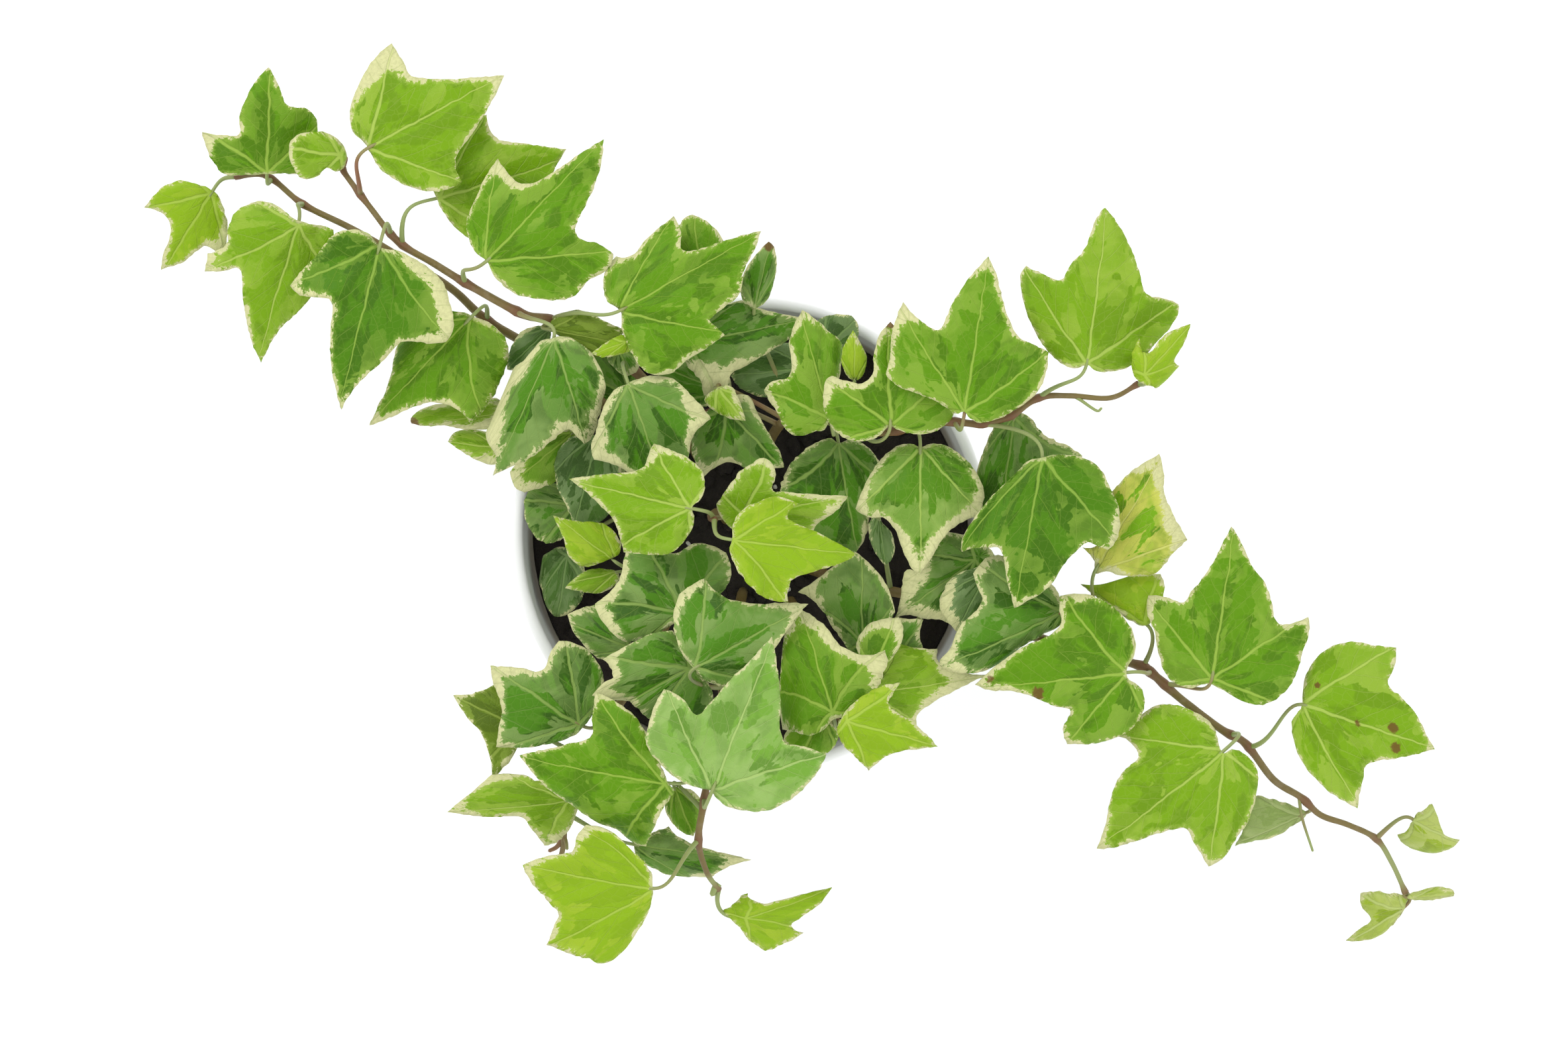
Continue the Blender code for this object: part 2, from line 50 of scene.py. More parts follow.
POT_FLOOR = 2.4
LIP_WIDTH = 3.0
LIP_HEIGHT = 8.0
LIP_STEP = 1.4
FOOT_LIFT = 1.2  # how far the pot's floor stands clear inside its foot ring
FOOT_WIDTH = 7.0
DRAIN_HOLES = 6
DRAIN_RADIUS = 4.0
DRAIN_CIRCLE = 28.0
DRAIN_TURN = 0.5 / 8  # share of a gap that the ring of holes is turned by
POT_SIDES = 160

# Soil, in millimetres
SOIL_DROP = 15.0
SOIL_MOUND = 2.0
SOIL_GAP = 0.3
SOIL_SIDES = 140
SOIL_RINGS = 44
SOIL_ROUGH = 1.1

# Stems and blades, in millimetres
STEM_BASE_RADIUS = 1.35
STEM_TIP_RADIUS = 0.6
STEM_SIDES = 12
THICKNESS = 0.35
EDGE_STEP = 0.9
EDGE_RAGGED = 0.30
GRID_STEP = 1.25

# A blade's shape, in shares of its width and length
SIDE_LOBE = (0.56, 0.48)
BASAL_LOBE = (0.5, -0.12)
LEAF_DOME = 0.05
PILLOW = 0.022
WAVE = 0.020
RIPPLE = 0.012

# Stalks: their dip in millimetres, and their reach out of the notch as a share of the blade's length
STALK_STEPS = 16
STALK_SIDES = 8
STALK_DIP = 1.2
NOTCH_REACH = 0.18

# Camera: straight down, centred a little to the right of the pot's axis
CAMERA_PLAN = (8.4, 4.1)
CAMERA_ABOVE_RIM = 10000.0
SHARP_ABOVE_RIM = 35.0  # the height at which the frame is FRAME_WIDTH wide
FRAME_WIDTH = 392.0
SENSOR = 36.0
FLOOR_REACH = 4000.0

# Soft lights: place and size in metres, and power
LIGHTS = {"key": ((-0.9, 0.9, 1.7), 0.8, 15), "fill": ((1.2, -0.9, 1.4), 1.4, 8)}
LIGHT_TARGET = (0, 0, 0.12)

# A stem's route: (across, back, height above the rim). The first point is its place on the soil.
STEMS = {
    "back_left_upper_vine": [
        (-12, 18), (-22, 34, 10), (-38, 49, 27), (-50, 54, 33), (-57, 55.5, 34.5), (-70, 62.5, 35),
        (-79, 68, 35), (-88, 73.5, 34), (-95, 82, 32), (-101, 90, 30), (-102, 92, 29.5),
    ],
    "back_left_lower_vine": [
        (-20, 8), (-32, 28, 2), (-50, 44, 14), (-66, 54, 21), (-75, 62, 23), (-88, 70, 23),
        (-100, 77, 22), (-112, 83, 20), (-121, 90, 17), (-129, 90, 14),
    ],
    "back_right_vine": [
        (2, 14), (4, 22, 4), (9, 29, 20), (19, 29.5, 31), (28, 26.5, 35.5), (34, 26, 37), (42, 27.5, 40),
        (50, 28.5, 42), (58, 28, 43), (65, 30, 43.5), (72, 34.5, 43), (80, 35, 42), (90, 34.5, 40),
        (97, 38, 39),
    ],
    "front_right_vine": [
        (14, -8), (26, -12, 2), (45, -16, 12), (62, -22, 19), (80, -28, 23), (96, -32, 25),
        (100, -34, 24.5), (108, -41, 22), (118, -48.5, 18), (124, -52, 15), (131, -61, 10),
        (138, -65.5, 6), (143, -70, 3), (150, -72.5, 0), (157, -76, -4), (161, -82, -9), (164.5, -89.5, -15),
    ],
    "front_vine": [
        (-2, -14), (-4, -24, 8), (-7, -40, 28), (-10, -56, 36), (-11.5, -66, 35), (-13, -76, 30),
        (-11, -84, 23), (-8, -88.5, 18),
    ],
    "front_left_vine": [
        (-14, -8), (-20, -20, 0), (-30, -38, 12), (-40, -52, 14), (-46, -66, 10), (-47, -78, 2),
        (-50, -88, -10),
    ],
    "centre_shoot": [(-6, 4), (-8, 6, 10), (-10, 5, 30), (-9, 4, 48)],
    "front_shoot": [(10, -16), (14, -26, 8), (19, -40, 26), (23.5, -50, 40)],
}

# base, tip, left and right: the blade's stalk end, tip and side lobes, as in the CAD part. stem, node and
# via: the stem its stalk grows from, where, and a place the stalk bends towards. rim: the blade's outline
# seen from above, with 1 after a sharp point. cream: (across, back, added width) places where the cream
# margin widens. margin: its usual width.
Leaf = namedtuple("Leaf", "name finish base tip left right stem node via rim cream margin")

LEAVES = [
    Leaf("back_left_leaf_1", "light", (-95.5, 97, 42), (-62, 115, 46), (-89, 123, 44), (-71, 88, 42),
         "back_left_upper_vine", (-97, 85, 31), (-98, 92, 41),
         ((-96.5, 98), (-93, 92.5), (-88, 88.5), (-82, 86.3), (-76, 86.5), (-72, 88.5, 1), (-73.5, 94),
         (-69, 101), (-64.5, 108.5), (-61.4, 115, 1), (-68, 114.6), (-77, 114), (-84.5, 115), (-87, 119),
         (-89.6, 123, 1), (-94, 119), (-98, 112.5), (-100, 106), (-99.3, 101)),
         ((-91, 120, 4), (-96, 113, 1.5), (-64, 112, 1.2)), 0.7),
    Leaf("back_left_leaf_2", "mid", (-121, 91, 24), (-120, 117, 28), (-137, 101, 24), (-108, 103, 26),
         "back_left_lower_vine", (-120, 89.3, 17.5), None,
         ((-119.6, 90.6), (-112, 91), (-108.8, 96), (-108.6, 104, 1), (-110.8, 106.8), (-115.9, 108),
         (-117.8, 112.3), (-120.6, 117, 1), (-123.6, 114), (-126.3, 109.2), (-127.9, 104.9),
         (-127.9, 100.6), (-131, 100.2), (-137.3, 101, 1), (-136.3, 97.5), (-134.3, 93.3), (-131.5, 90.6),
         (-125.7, 90.2)), ((-136, 100, 1.5), (-120.5, 115.5, 0.8)), 0.4),
    Leaf("back_left_leaf_3", "light", (-102.5, 95, 34), (-117, 97, 37), (-111, 89, 36), (-110, 107.5, 36),
         "back_left_upper_vine", (-102, 92, 29.5), None,
         ((-101, 94.5), (-102, 98), (-106, 100.8), (-110.5, 101), (-114.2, 99.5), (-115.4, 95.7),
         (-114.2, 92, 1), (-111.6, 89.2), (-108.4, 89.8), (-106, 92), (-103, 91)), ((-112, 92, 0.6),), 0.5),
    Leaf("back_left_leaf_4", "lime", (-135, 86, 13), (-147, 67, 6), (-131.5, 70.5, 9), (-152, 82, 10),
         "back_left_lower_vine", (-129, 90, 14), None,
         ((-135, 86.6), (-132.5, 83.5), (-131.2, 79), (-131.4, 73), (-133.4, 70.8, 1), (-136.1, 72.8),
         (-138.5, 71.5), (-142, 68.8), (-147.8, 66.7, 1), (-146.9, 71.2), (-145.3, 76.1), (-146.5, 80),
         (-152, 82.2, 1), (-149.8, 85), (-147, 87.6), (-143.5, 88.8), (-138.5, 88)),
         ((-133, 74, 2.2), (-147, 69, 0.6)), 0.3),
    Leaf("back_left_leaf_5", "light", (-113, 78, 28), (-123.5, 44, 16), (-103, 62, 22), (-137, 66.5, 18),
         "back_left_lower_vine", (-112, 83, 20), (-115, 83, 29),
         ((-113.7, 79.2), (-108.6, 77.6), (-104.4, 76.5, 1), (-104.5, 68), (-109, 61), (-113.5, 56),
         (-117.8, 51.7), (-120.2, 48), (-122.7, 43.1, 1), (-124.7, 48), (-126.3, 54.1), (-127, 61.5),
         (-128, 66.8), (-131.5, 66.2), (-136.9, 66, 1), (-136, 70.5, 1), (-131, 73.2), (-130.5, 77.4),
         (-128.2, 81.7), (-123.3, 83.4), (-118, 82)), ((-136, 68.5, 2), (-119, 81.5, 0.5)), 0.5),
    Leaf("back_left_leaf_6", "deep", (-92.5, 73, 41), (-103, 31.5, 38), (-76, 50, 40), (-115, 63, 40),
         "back_left_upper_vine", (-89.5, 75, 33.5), None,
         ((-92.6, 72.2), (-95.1, 75.2), (-99, 76.6), (-104.3, 75.2), (-108, 70.5), (-112, 66.4),
         (-115, 62.6, 1), (-112.5, 60.2), (-108, 59.6), (-104.7, 58.5), (-104.9, 52), (-104.9, 44),
         (-103.7, 37), (-102.2, 31.5, 1), (-99.8, 35.8), (-96, 40), (-91.5, 44), (-87.3, 48.3), (-84, 48.6),
         (-80, 48), (-76, 48.4, 1), (-74.2, 52), (-74.9, 57.8), (-77, 63.5), (-81.7, 67.9), (-87.8, 71.2)),
         ((-80, 65, 2.6), (-76, 57, 2.2), (-77, 51, 1.8), (-113, 63, 1.2), (-86, 69.5, 0.8)), 0.8),
    Leaf("back_left_leaf_7", "light", (-78, 84.5, 36), (-44, 95, 34), (-65, 107, 36), (-56, 70, 31),
         "back_left_upper_vine", (-86.5, 72.5, 34), (-88, 84, 38),
         ((-79, 85.9), (-76.8, 81), (-74, 77.2), (-69, 73.8), (-58, 72, 1), (-54, 82), (-46, 96.6, 1),
         (-56, 98), (-63.5, 99.6), (-65.8, 105.2, 1), (-71, 103), (-77, 98), (-80, 92)), (), 0.5),
    Leaf("back_left_leaf_8", "mid", (-66, 68.5, 44), (-37, 99, 46), (-63, 94, 45), (-34.5, 71, 44),
         "back_left_upper_vine", (-71, 63, 35), (-73, 69, 43),
         ((-65.8, 68.6), (-68.2, 70.3), (-70.2, 73.7), (-70.8, 78.6), (-69, 83.5), (-66, 89.8),
         (-63, 94.4, 1), (-61, 91), (-58, 88.3), (-54, 88.3), (-49, 91), (-43, 95), (-36.5, 99.2, 1),
         (-37.6, 92), (-39.5, 86), (-42.5, 80), (-43.8, 76), (-41.5, 73.7), (-38.3, 73.2), (-34.2, 70.4, 1),
         (-36, 66.2), (-40.5, 63.8), (-43.7, 60.2), (-47.4, 59), (-53.5, 59.2), (-59.6, 60.9), (-64, 64.8)),
         ((-62.5, 92, 1.8), (-59.5, 88.5, 1.5), (-42, 75, 0.5)), 0.5),
    Leaf("back_left_leaf_9", "mid", (-70, 54.5, 30), (-95.5, 28, 22), (-67, 29, 26), (-86, 50, 26),
         "back_left_lower_vine", (-66, 54, 21), None,
         ((-70, 55), (-65, 53), (-61, 49), (-60.5, 44), (-63, 38), (-66, 32), (-70, 28.2, 1), (-74, 32),
         (-79.2, 33.3), (-85, 32), (-91, 29.2), (-95.3, 27.8, 1), (-93.5, 31.8), (-91, 37), (-89.4, 43),
         (-88, 50, 1), (-82, 52), (-76, 56), (-72.5, 56.2)), ((-76, 32.5, 1), (-92, 30, 1)), 0.5),
    Leaf("back_left_leaf_10", "dark", (-49, 49.5, 40), (-64, 15, 31), (-41, 23.5, 32), (-66.5, 25, 31),
         "back_left_upper_vine", (-58, 56, 34.6), (-55, 53, 41),
         ((-49.3, 49.6), (-46, 49.5), (-42, 47.6), (-38.8, 44.3), (-36.8, 40.3), (-36, 37.5), (-37.2, 33),
         (-38, 29), (-39.5, 24.8), (-41.5, 23, 1), (-43.3, 25), (-45.3, 26.8), (-48, 25.2), (-51, 22.8),
         (-55.6, 19), (-60, 17), (-64.4, 14.8, 1), (-63.8, 20), (-65.6, 23.5), (-66, 28), (-64.6, 34),
         (-63, 38.5), (-61, 41.6), (-57, 43.4), (-54.8, 46), (-52.5, 48.5)),
         ((-58.5, 40, 5.3), (-62, 32, 3.8), (-63.5, 24, 1.6), (-45, 28.5, 1.3), (-37.5, 35, 0.6),
         (-53, 21.5, 0.5)), 0.7),
    Leaf("back_leaf_1", "mid", (-33, 56, 42), (3, 76, 46), (-19, 80, 44), (-8, 51, 44),
         "back_left_upper_vine", (-50, 54, 33), (-42, 58, 40),
         ((-32.6, 56.3), (-35.6, 58.5), (-36.8, 63), (-35.5, 67.5), (-33.6, 69.8, 1), (-29.5, 70.2),
         (-25.5, 74.5), (-19.3, 79.7, 1), (-17.4, 76), (-16.8, 71.4), (-12, 71.8), (-5, 74.2),
         (2.7, 76.1, 1), (0.8, 71), (-1.8, 66), (-2.7, 60.3), (-6, 57.5), (-10.4, 54, 1), (-8.7, 52.3),
         (-6.4, 50.2, 1), (-11, 46.8), (-16, 43.8), (-20, 40.6), (-25.5, 40.8), (-29.5, 45.5), (-32, 51)),
         ((-35, 67, 0.8), (-30, 70, 0.8), (-18.5, 75, 0.5), (-2.5, 63, 0.8)), 0.5),
    Leaf("back_leaf_2", "dark", (-17, 48, 30), (12, 54, 30), (-4, 58, 31), (-9, 35.5, 28),
         "back_left_upper_vine", (-30, 43, 19), None,
         ((-17, 48), (-12, 53), (-8, 57), (-2.3, 59, 1), (2, 57), (7, 55.7), (13, 54.5, 1), (10, 49.6),
         (6, 47), (0, 43.2), (-4.8, 40.3), (-5.8, 37.3), (-8, 35.4), (-11.8, 34.9, 1), (-12.5, 38.5),
         (-16, 43)), ((-9, 38, 4), (-5, 40.5, 2), (3, 56.5, 0.5), (-1, 43, 0.8)), 0.5),
    Leaf("back_leaf_3", "mid", (20, 29, 38), (12.5, 56, 38), (4, 36, 36), (24, 46, 37),
         "back_right_vine", (20, 29, 31.5), (21, 23, 36),
         ((20, 29), (18.5, 26.6), (16.3, 26.2), (13, 25.1), (9.6, 25.8), (7.9, 28.3), (6.6, 31.2),
         (4.4, 34.2), (3.5, 36.4, 1), (5.6, 38.7), (9.5, 39.8), (10.3, 43.5), (9.8, 48), (10.6, 52),
         (12.9, 56.4, 1), (16.8, 53.8), (20, 50.8), (22.9, 48), (22.7, 43), (21.8, 38), (21, 33)),
         ((4.5, 36, 1.2), (12.5, 54, 1.2), (10, 45, 0.4)), 0.5),
    Leaf("back_right_leaf_1", "mid", (35, 27.5, 46), (34, 54, 47), (19, 39, 45), (50, 40, 44),
         "back_right_vine", (28, 25.5, 34.5), (30, 21.5, 44),
         ((34.6, 27.2), (32, 24.9), (28, 23.7), (24.5, 24), (21.6, 25.8), (19.4, 28.8), (18.2, 33),
         (18.6, 38.5), (20.4, 40, 1), (24, 38.7), (27.8, 38.2), (30.6, 40.4), (30.8, 45), (31.9, 49.5),
         (35, 53.6, 1), (38, 50), (42, 44), (47, 40), (51.5, 35.5, 1), (51, 31), (49.3, 28.3), (46, 26),
         (41.5, 25.3), (37.5, 26.3)), ((20, 37.5, 2), (28, 38.5, 0.8), (34, 51, 1.6)), 0.6),
    Leaf("back_right_leaf_2", "mid", (53.5, 31, 52), (59.5, 70, 56), (37, 57, 54), (74.5, 46, 53),
         "back_right_vine", (51, 28.5, 42.2), None,
         ((53.4, 31), (51, 30.5), (46.5, 33.5), (40.4, 36), (36, 38), (33.8, 40.5, 1), (34.8, 45),
         (35.2, 50), (36.4, 54), (38.1, 58.3, 1), (40.6, 55.3), (43.7, 53), (46.9, 51.6), (50.5, 58),
         (54, 63.7), (59.4, 69.6, 1), (61.4, 65), (63.4, 57.5), (66.7, 50), (70.4, 48), (74.4, 45.6, 1),
         (73.6, 40), (71.6, 36), (67.3, 32.3), (62.5, 29.4), (57.5, 28.2), (54.8, 29.4)),
         ((36.5, 45, 1.2), (37.5, 55, 1.3), (58.5, 67, 0.6)), 0.6),
    Leaf("back_right_leaf_3", "light", (84, 43, 45), (89, 82, 48), (68.5, 67, 46), (107, 59, 43),
         "back_right_vine", (72, 34.5, 43), (79, 40, 46),
         ((84, 42.6), (81, 41.8), (77.4, 43.2), (73.4, 47.2), (70.4, 52.4), (68, 59), (67.5, 65),
         (69, 67.2, 1), (73.4, 65.3), (77.7, 63.9), (80, 68), (83.6, 72), (85.7, 78), (88.6, 82, 1),
         (91.8, 77.8), (95.2, 71.6), (97.3, 65.5), (98.8, 60.6), (103, 59.4), (107, 58, 1), (106.2, 54),
         (101.6, 48.4), (95.5, 42.9), (89.4, 40.8), (85.8, 41.4)), ((88.5, 79, 0.5),), 0.4),
    Leaf("back_right_leaf_4", "lime", (98.5, 40.5, 50), (110, 53, 53), (97.5, 50, 52), (107, 43.5, 50),
         "back_right_vine", (97, 38, 39), (100.5, 37.5, 45),
         ((97, 38.6), (95.2, 42), (95.6, 46.5), (97.3, 49.3, 1), (98.8, 45.6), (103.5, 50), (109.9, 53, 1),
         (108.3, 48.4), (105.8, 43.6), (108.5, 42.2), (111.6, 40.7, 1), (107.7, 37.8), (105, 36.1),
         (100.6, 37.3)), (), 0.2),
    Leaf("back_right_leaf_5", "deep", (73, 19.5, 44), (66, -18, 42), (91.5, -2, 43), (53, -3, 43),
         "back_right_vine", (58, 28, 43), (67, 27, 45),
         ((73, 19.6), (77.5, 20.3), (83.3, 19.4), (87.6, 16.5), (89.9, 12), (91.9, 7.5), (92.2, 2.5),
         (91.6, -1), (89.2, -3.4, 1), (86.5, -2.4), (84.4, -1.6), (81, -4), (77.6, -8), (75, -12),
         (71, -15.3), (65.9, -18.1, 1), (64.7, -13.5), (63.7, -9), (62.4, -3.4), (58, -2.9),
         (52.9, -3.9, 1), (53, -0.6), (56, 4.5), (60, 9.6), (65.5, 14.8), (69.5, 18.8)),
         ((91, 1, 0.8), (62, -2.5, 0.8), (66, -15, 1)), 0.5),
    Leaf("back_right_leaf_6", "varied", (42.5, 22, 35), (42.5, -9, 35), (57, 6, 35), (27.5, 7, 34),
         "back_right_vine", (37, 26.5, 38), (42, 28, 34),
         ((42.5, 22.2), (40, 23.1), (36.5, 22.4), (33.3, 19.8), (30.6, 16.3), (28.2, 12), (26.2, 6.8, 1),
         (29.5, 4.9), (34, 4.3), (36, 1.6), (38, -3), (40.2, -8), (42.4, -9.4, 1), (44.7, -6.3),
         (47.2, -2.2), (49.6, 1), (53, 3.6), (57, 4.8, 1), (58.4, 10.5), (57, 15), (53.6, 19.3),
         (49.5, 22.3), (45.8, 23.2)),
         ((28.5, 9, 1.8), (56, 8, 3), (48, 0, 1.8), (38.5, -3, 1.8), (31, 15.5, 0.8), (43, -7, 2)), 0.6),
    Leaf("back_right_leaf_7", "dark", (66, 30, 32), (62, -2, 24), (83, 20, 30), (57, 18, 28),
         "back_right_vine", (65, 30, 43.5), (67, 34, 38),
         ((66, 30.6), (69, 30), (71.4, 28), (73.2, 25.3), (76.5, 23.4), (80, 22.4), (83.2, 20, 1), (78, 15),
         (72, 6), (62, -3, 1), (58, 5), (56.6, 16, 1), (58, 20.5), (60, 25.5), (62.5, 29)),
         ((58, 19, 0.8), (63, 29.5, 0.6)), 0.5),
    Leaf("back_right_leaf_8", "dark", (22, 23.5, 22), (27, -5, 17), (33, 14, 19), (8, 12, 18),
         "back_right_vine", (13, 30, 25), None,
         ((22, 23.2), (20.3, 24.3), (17, 23.5), (14, 21.9), (11.3, 19.6), (9.3, 16.8), (8, 14),
         (7.6, 11.4, 1), (10, 5), (15, 0), (26, -4.8, 1), (29.2, 1), (30, 6), (31.4, 12), (32.6, 18, 1),
         (30.4, 21.3), (27.5, 23.4), (24.5, 24)), ((29.5, 3, 0.8),), 0.4),
    Leaf("front_right_leaf_1", "streaked", (86, -9, 31), (103, 20, 36), (88, 12, 32), (109, -1, 32),
         "front_right_vine", (86, -29.5, 23.7), (88, -19, 27),
         ((86, -9.5), (89, -8.9), (93, -9.8), (99.6, -10), (102.8, -7.9), (105.3, -4.9), (109.2, -1.1, 1),
         (106.2, 4.5), (103.6, 10.6), (103.4, 16), (102.2, 20.6, 1), (98.5, 18.3), (94.5, 15.5),
         (90.4, 11, 1), (90, 4), (88.3, -1.2), (83.2, -2.8, 1), (86, -6.5)),
         ((107, 3, 2.6), (103, 17, 2.2), (90, -7, 1)), 0.6),
    Leaf("front_right_leaf_2", "lime", (99, -22, 28), (82.5, -12, 23), (85, -22, 20), (102.5, -9.5, 27),
         "front_right_vine", (98, -33, 24.8), (101, -28, 27),
         ((99, -22.5), (94, -20.5), (88.5, -16.8), (82.5, -12.1, 1), (89.4, -11.8), (95.5, -9.9),
         (102.3, -9.6, 1), (103.5, -14.7), (101.5, -18.5)), ((91, -17.5, 1.2),), 0.4),
    Leaf("front_right_leaf_3", "dark", (78, -19, 33), (49.5, -32, 34), (62, -35.5, 30), (57, -7, 35),
         "front_right_vine", (79, -27.7, 22.8), None,
         ((78, -19), (77.5, -15), (74, -11), (68, -7), (62, -4.8), (58.8, -5.8), (55.5, -9.2, 1),
         (56.6, -12.5), (57.9, -15.5), (56.5, -18.6), (53.2, -21.6), (51.2, -24.5), (50, -28),
         (47.3, -31, 1), (48.3, -33.2), (54, -34.2), (59, -33.4), (64, -30.6), (69, -27), (75, -23.8),
         (78, -21.6)), ((57, -7.5, 1), (57.5, -15, 0.8), (50, -30, 1.6), (58, -33, 0.5)), 0.6),
    Leaf("front_right_leaf_4", "dark", (56, -6, 26), (37, -19.5, 22), (49, -21, 22), (41, -4, 25),
         "front_right_vine", (57, -20.3, 17), None,
         ((61.5, -6), (57.5, -1.2), (52, 0.6), (47.8, 0.4, 1), (45.6, -3.6), (42.5, -8.6), (39.2, -8.4),
         (38, -12), (37.5, -16), (36.1, -20.5, 1), (40, -19.8), (43.5, -20.8), (48, -21), (52, -24.4, 1),
         (54.5, -20), (61, -13)), ((39.5, -13, 3), (44, -20, 2), (50, -22, 1)), 0.6),
    Leaf("front_right_leaf_5", "mid", (94, -34, 35), (56.5, -38, 37), (79, -52, 31), (79, -15, 39),
         "front_right_vine", (100, -34, 24.5), (99, -35, 32),
         ((94, -34.5), (96.3, -29), (95.6, -24), (93.2, -20.2), (89.4, -16.8), (85.5, -14.9), (81, -14.8),
         (77.4, -15, 1), (77.2, -18.5), (77.6, -21.6), (74.5, -24.8), (69.5, -26.8), (65.5, -29.2),
         (61, -33), (56.4, -37.4, 1), (60.5, -38.8), (65, -38.8), (70, -39.9), (75, -42), (79.9, -43.4),
         (79.6, -45.6), (78.2, -47.8), (79.4, -52.2, 1), (84.5, -52), (88, -51.5), (92, -49.8), (96, -47.6),
         (98.4, -43.4), (98, -38.5)),
         ((60, -37, 1.6), (71, -39.7, 0.6), (80.5, -50.5, 1), (81, -16, 1.2), (79.5, -44, 0.5)), 0.5),
    Leaf("front_right_leaf_6", "mid", (115.5, -35.5, 31), (121, 3, 34), (99, -15, 31), (139.5, -20, 30),
         "front_right_vine", (104, -37.3, 23.3), (111, -37, 26),
         ((114.5, -37), (109.5, -38), (104.6, -35.6), (102.2, -30), (101, -24), (99.2, -19), (99.6, -15, 1),
         (104, -15.2), (108.3, -16.6), (110.2, -14.1), (113.9, -9.2), (116.3, -5.2), (120.2, 2.3, 1),
         (122.4, -0.8), (125, -6.7), (128.5, -11.6), (130.4, -16.5), (131.6, -21.6), (134.9, -22),
         (139.6, -20.2, 1), (139.7, -24), (138.3, -28.8), (136.3, -35), (133, -39.8), (127.3, -42.2),
         (121.2, -40.4), (117, -37.9)), ((101, -17, 1), (120, 0, 0.6), (137, -21.5, 0.8)), 0.5),
    Leaf("front_right_leaf_7", "light", (138, -42, 22), (171, -53, 20), (161, -28, 22), (153, -68, 18),
         "front_right_vine", (124.5, -52.5, 14.7), (132, -52, 18),
         ((138, -42.5), (138.2, -38.5), (139.6, -33.6), (143.4, -28.8), (149.5, -26.5), (155.5, -27.3),
         (161.6, -28, 1), (161.2, -32.4), (159.6, -37), (162.6, -40), (166, -43.6), (168.9, -49),
         (171.3, -53.4, 1), (166.5, -54.6), (160.4, -55.8), (154.4, -57), (153.4, -61), (152, -68.2, 1),
         (148.1, -66.1), (143.2, -62.4), (138.3, -56.9), (135.9, -50.8), (135.8, -45.9)),
         ((152, -65, 0.8), (160, -30, 0.6)), 0.4),
    Leaf("front_right_leaf_8", "light", (118.5, -53.5, 26), (87, -78, 20), (115, -83, 17), (91, -50, 26),
         "front_right_vine", (120.5, -50, 17), None,
         ((118.1, -54.3), (116, -48.4), (112.6, -44.9), (107.7, -42.2), (102.2, -42.4), (97.5, -45),
         (92.2, -50.3, 1), (95.3, -52), (97, -55), (94, -58), (91.8, -61), (90, -66.7), (88.8, -72.8),
         (86.7, -78.5, 1), (91, -77.9), (96.7, -75.9), (104, -73.6), (109, -73.2), (111, -76.8),
         (114.8, -83.1, 1), (118.1, -80.6), (121.4, -75.9), (124.9, -70.4), (126.8, -64.4), (126.8, -59),
         (123.8, -54.4), (120.4, -53.2)), ((89, -75, 0.8), (114, -80, 0.8)), 0.5),
    Leaf("front_right_leaf_9", "dull", (138, -70, 1), (122, -77, 3), (132, -76.5, 2), (127, -65, 5),
         "front_right_vine", (139.5, -66.8, 5.1), (141.5, -69.5, 2.5),
         ((139.6, -69.8), (135, -67.2), (131, -66), (126.5, -65.3), (124.4, -70), (121.6, -77.7, 1),
         (126.5, -76.5), (131, -75.6), (136, -72.6)), (), 0.3),
    Leaf("front_right_leaf_10", "young", (166, -71, -2), (178, -77, -6), (172, -67.5, -2), (163, -76, -8),
         "front_right_vine", (157, -76, -4), (162, -71, -1),
         ((166, -71.8), (167.5, -69.6), (171, -67.4, 1), (172.8, -71.4), (174, -75), (178, -76.4, 1),
         (175.7, -78.4), (170.2, -79.2), (165.3, -77.9), (162.3, -75.2, 1), (165, -73.6)), (), 0.2),
    Leaf("front_right_leaf_11", "young", (164, -93.5, -17.5), (150, -102, -22), (162, -99.5, -22),
         (153.5, -90, -18),
         "front_right_vine", (164.5, -89.5, -15), None,
         ((164.8, -90.6), (159, -89.6), (153.2, -89.6, 1), (153.4, -92.6), (156, -96.4), (153.5, -98.6),
         (149.6, -101.8, 1), (154.5, -101.4), (158.4, -100.3), (162, -97), (164.4, -93.6)), (), 0.2),
    Leaf("centre_leaf_1", "light", (-15, 7, 52), (-45, 14, 46), (-33.5, -3.5, 46), (-24, 22.5, 50),
         "centre_shoot", (-9.5, 4.5, 46), None,
         ((-14.8, 6.8), (-12.4, 9.3), (-11.4, 12), (-12.2, 16), (-14.8, 19), (-18, 20.9), (-24.3, 23, 1),
         (-25.6, 20.3), (-26.5, 17.4), (-29.5, 16.1), (-37, 15.4), (-45.3, 14.2, 1), (-41.5, 11.2),
         (-38.5, 8.4), (-34.5, 4.5), (-32.6, 0.5), (-31.6, -4, 1), (-26.2, -4.6), (-19.6, -4.2),
         (-15.4, 0.5), (-14.2, 4)), ((-24.5, 20.5, 1.5), (-40, 14, 0.3)), 0.5),
    Leaf("centre_leaf_2", "lime", (-4, -1, 56), (26, -4.5, 52), (11, 8.5, 54), (8.5, -16, 53),
         "centre_shoot", (-9, 4, 48), None,
         ((-4.6, -1), (-4.2, 3), (-2, 6.4), (1.6, 8.5), (5.5, 9.8), (9, 9.3), (12.2, 8, 1), (9.8, 6.2),
         (9.5, 4.2), (13, 2.6), (18, 0.2), (26.4, -4.5, 1), (23, -6.8), (17.5, -8.4), (11.5, -10.2),
         (9.8, -12), (9.4, -16.4, 1), (5.4, -16.2), (0.3, -13.1), (-3.7, -7.7), (-5, -4)), (), 0.3),
    Leaf("centre_leaf_3", "light", (-2, 5.5, 45), (24, 10, 42), (4, 19.5, 46), (15, 0.5, 40),
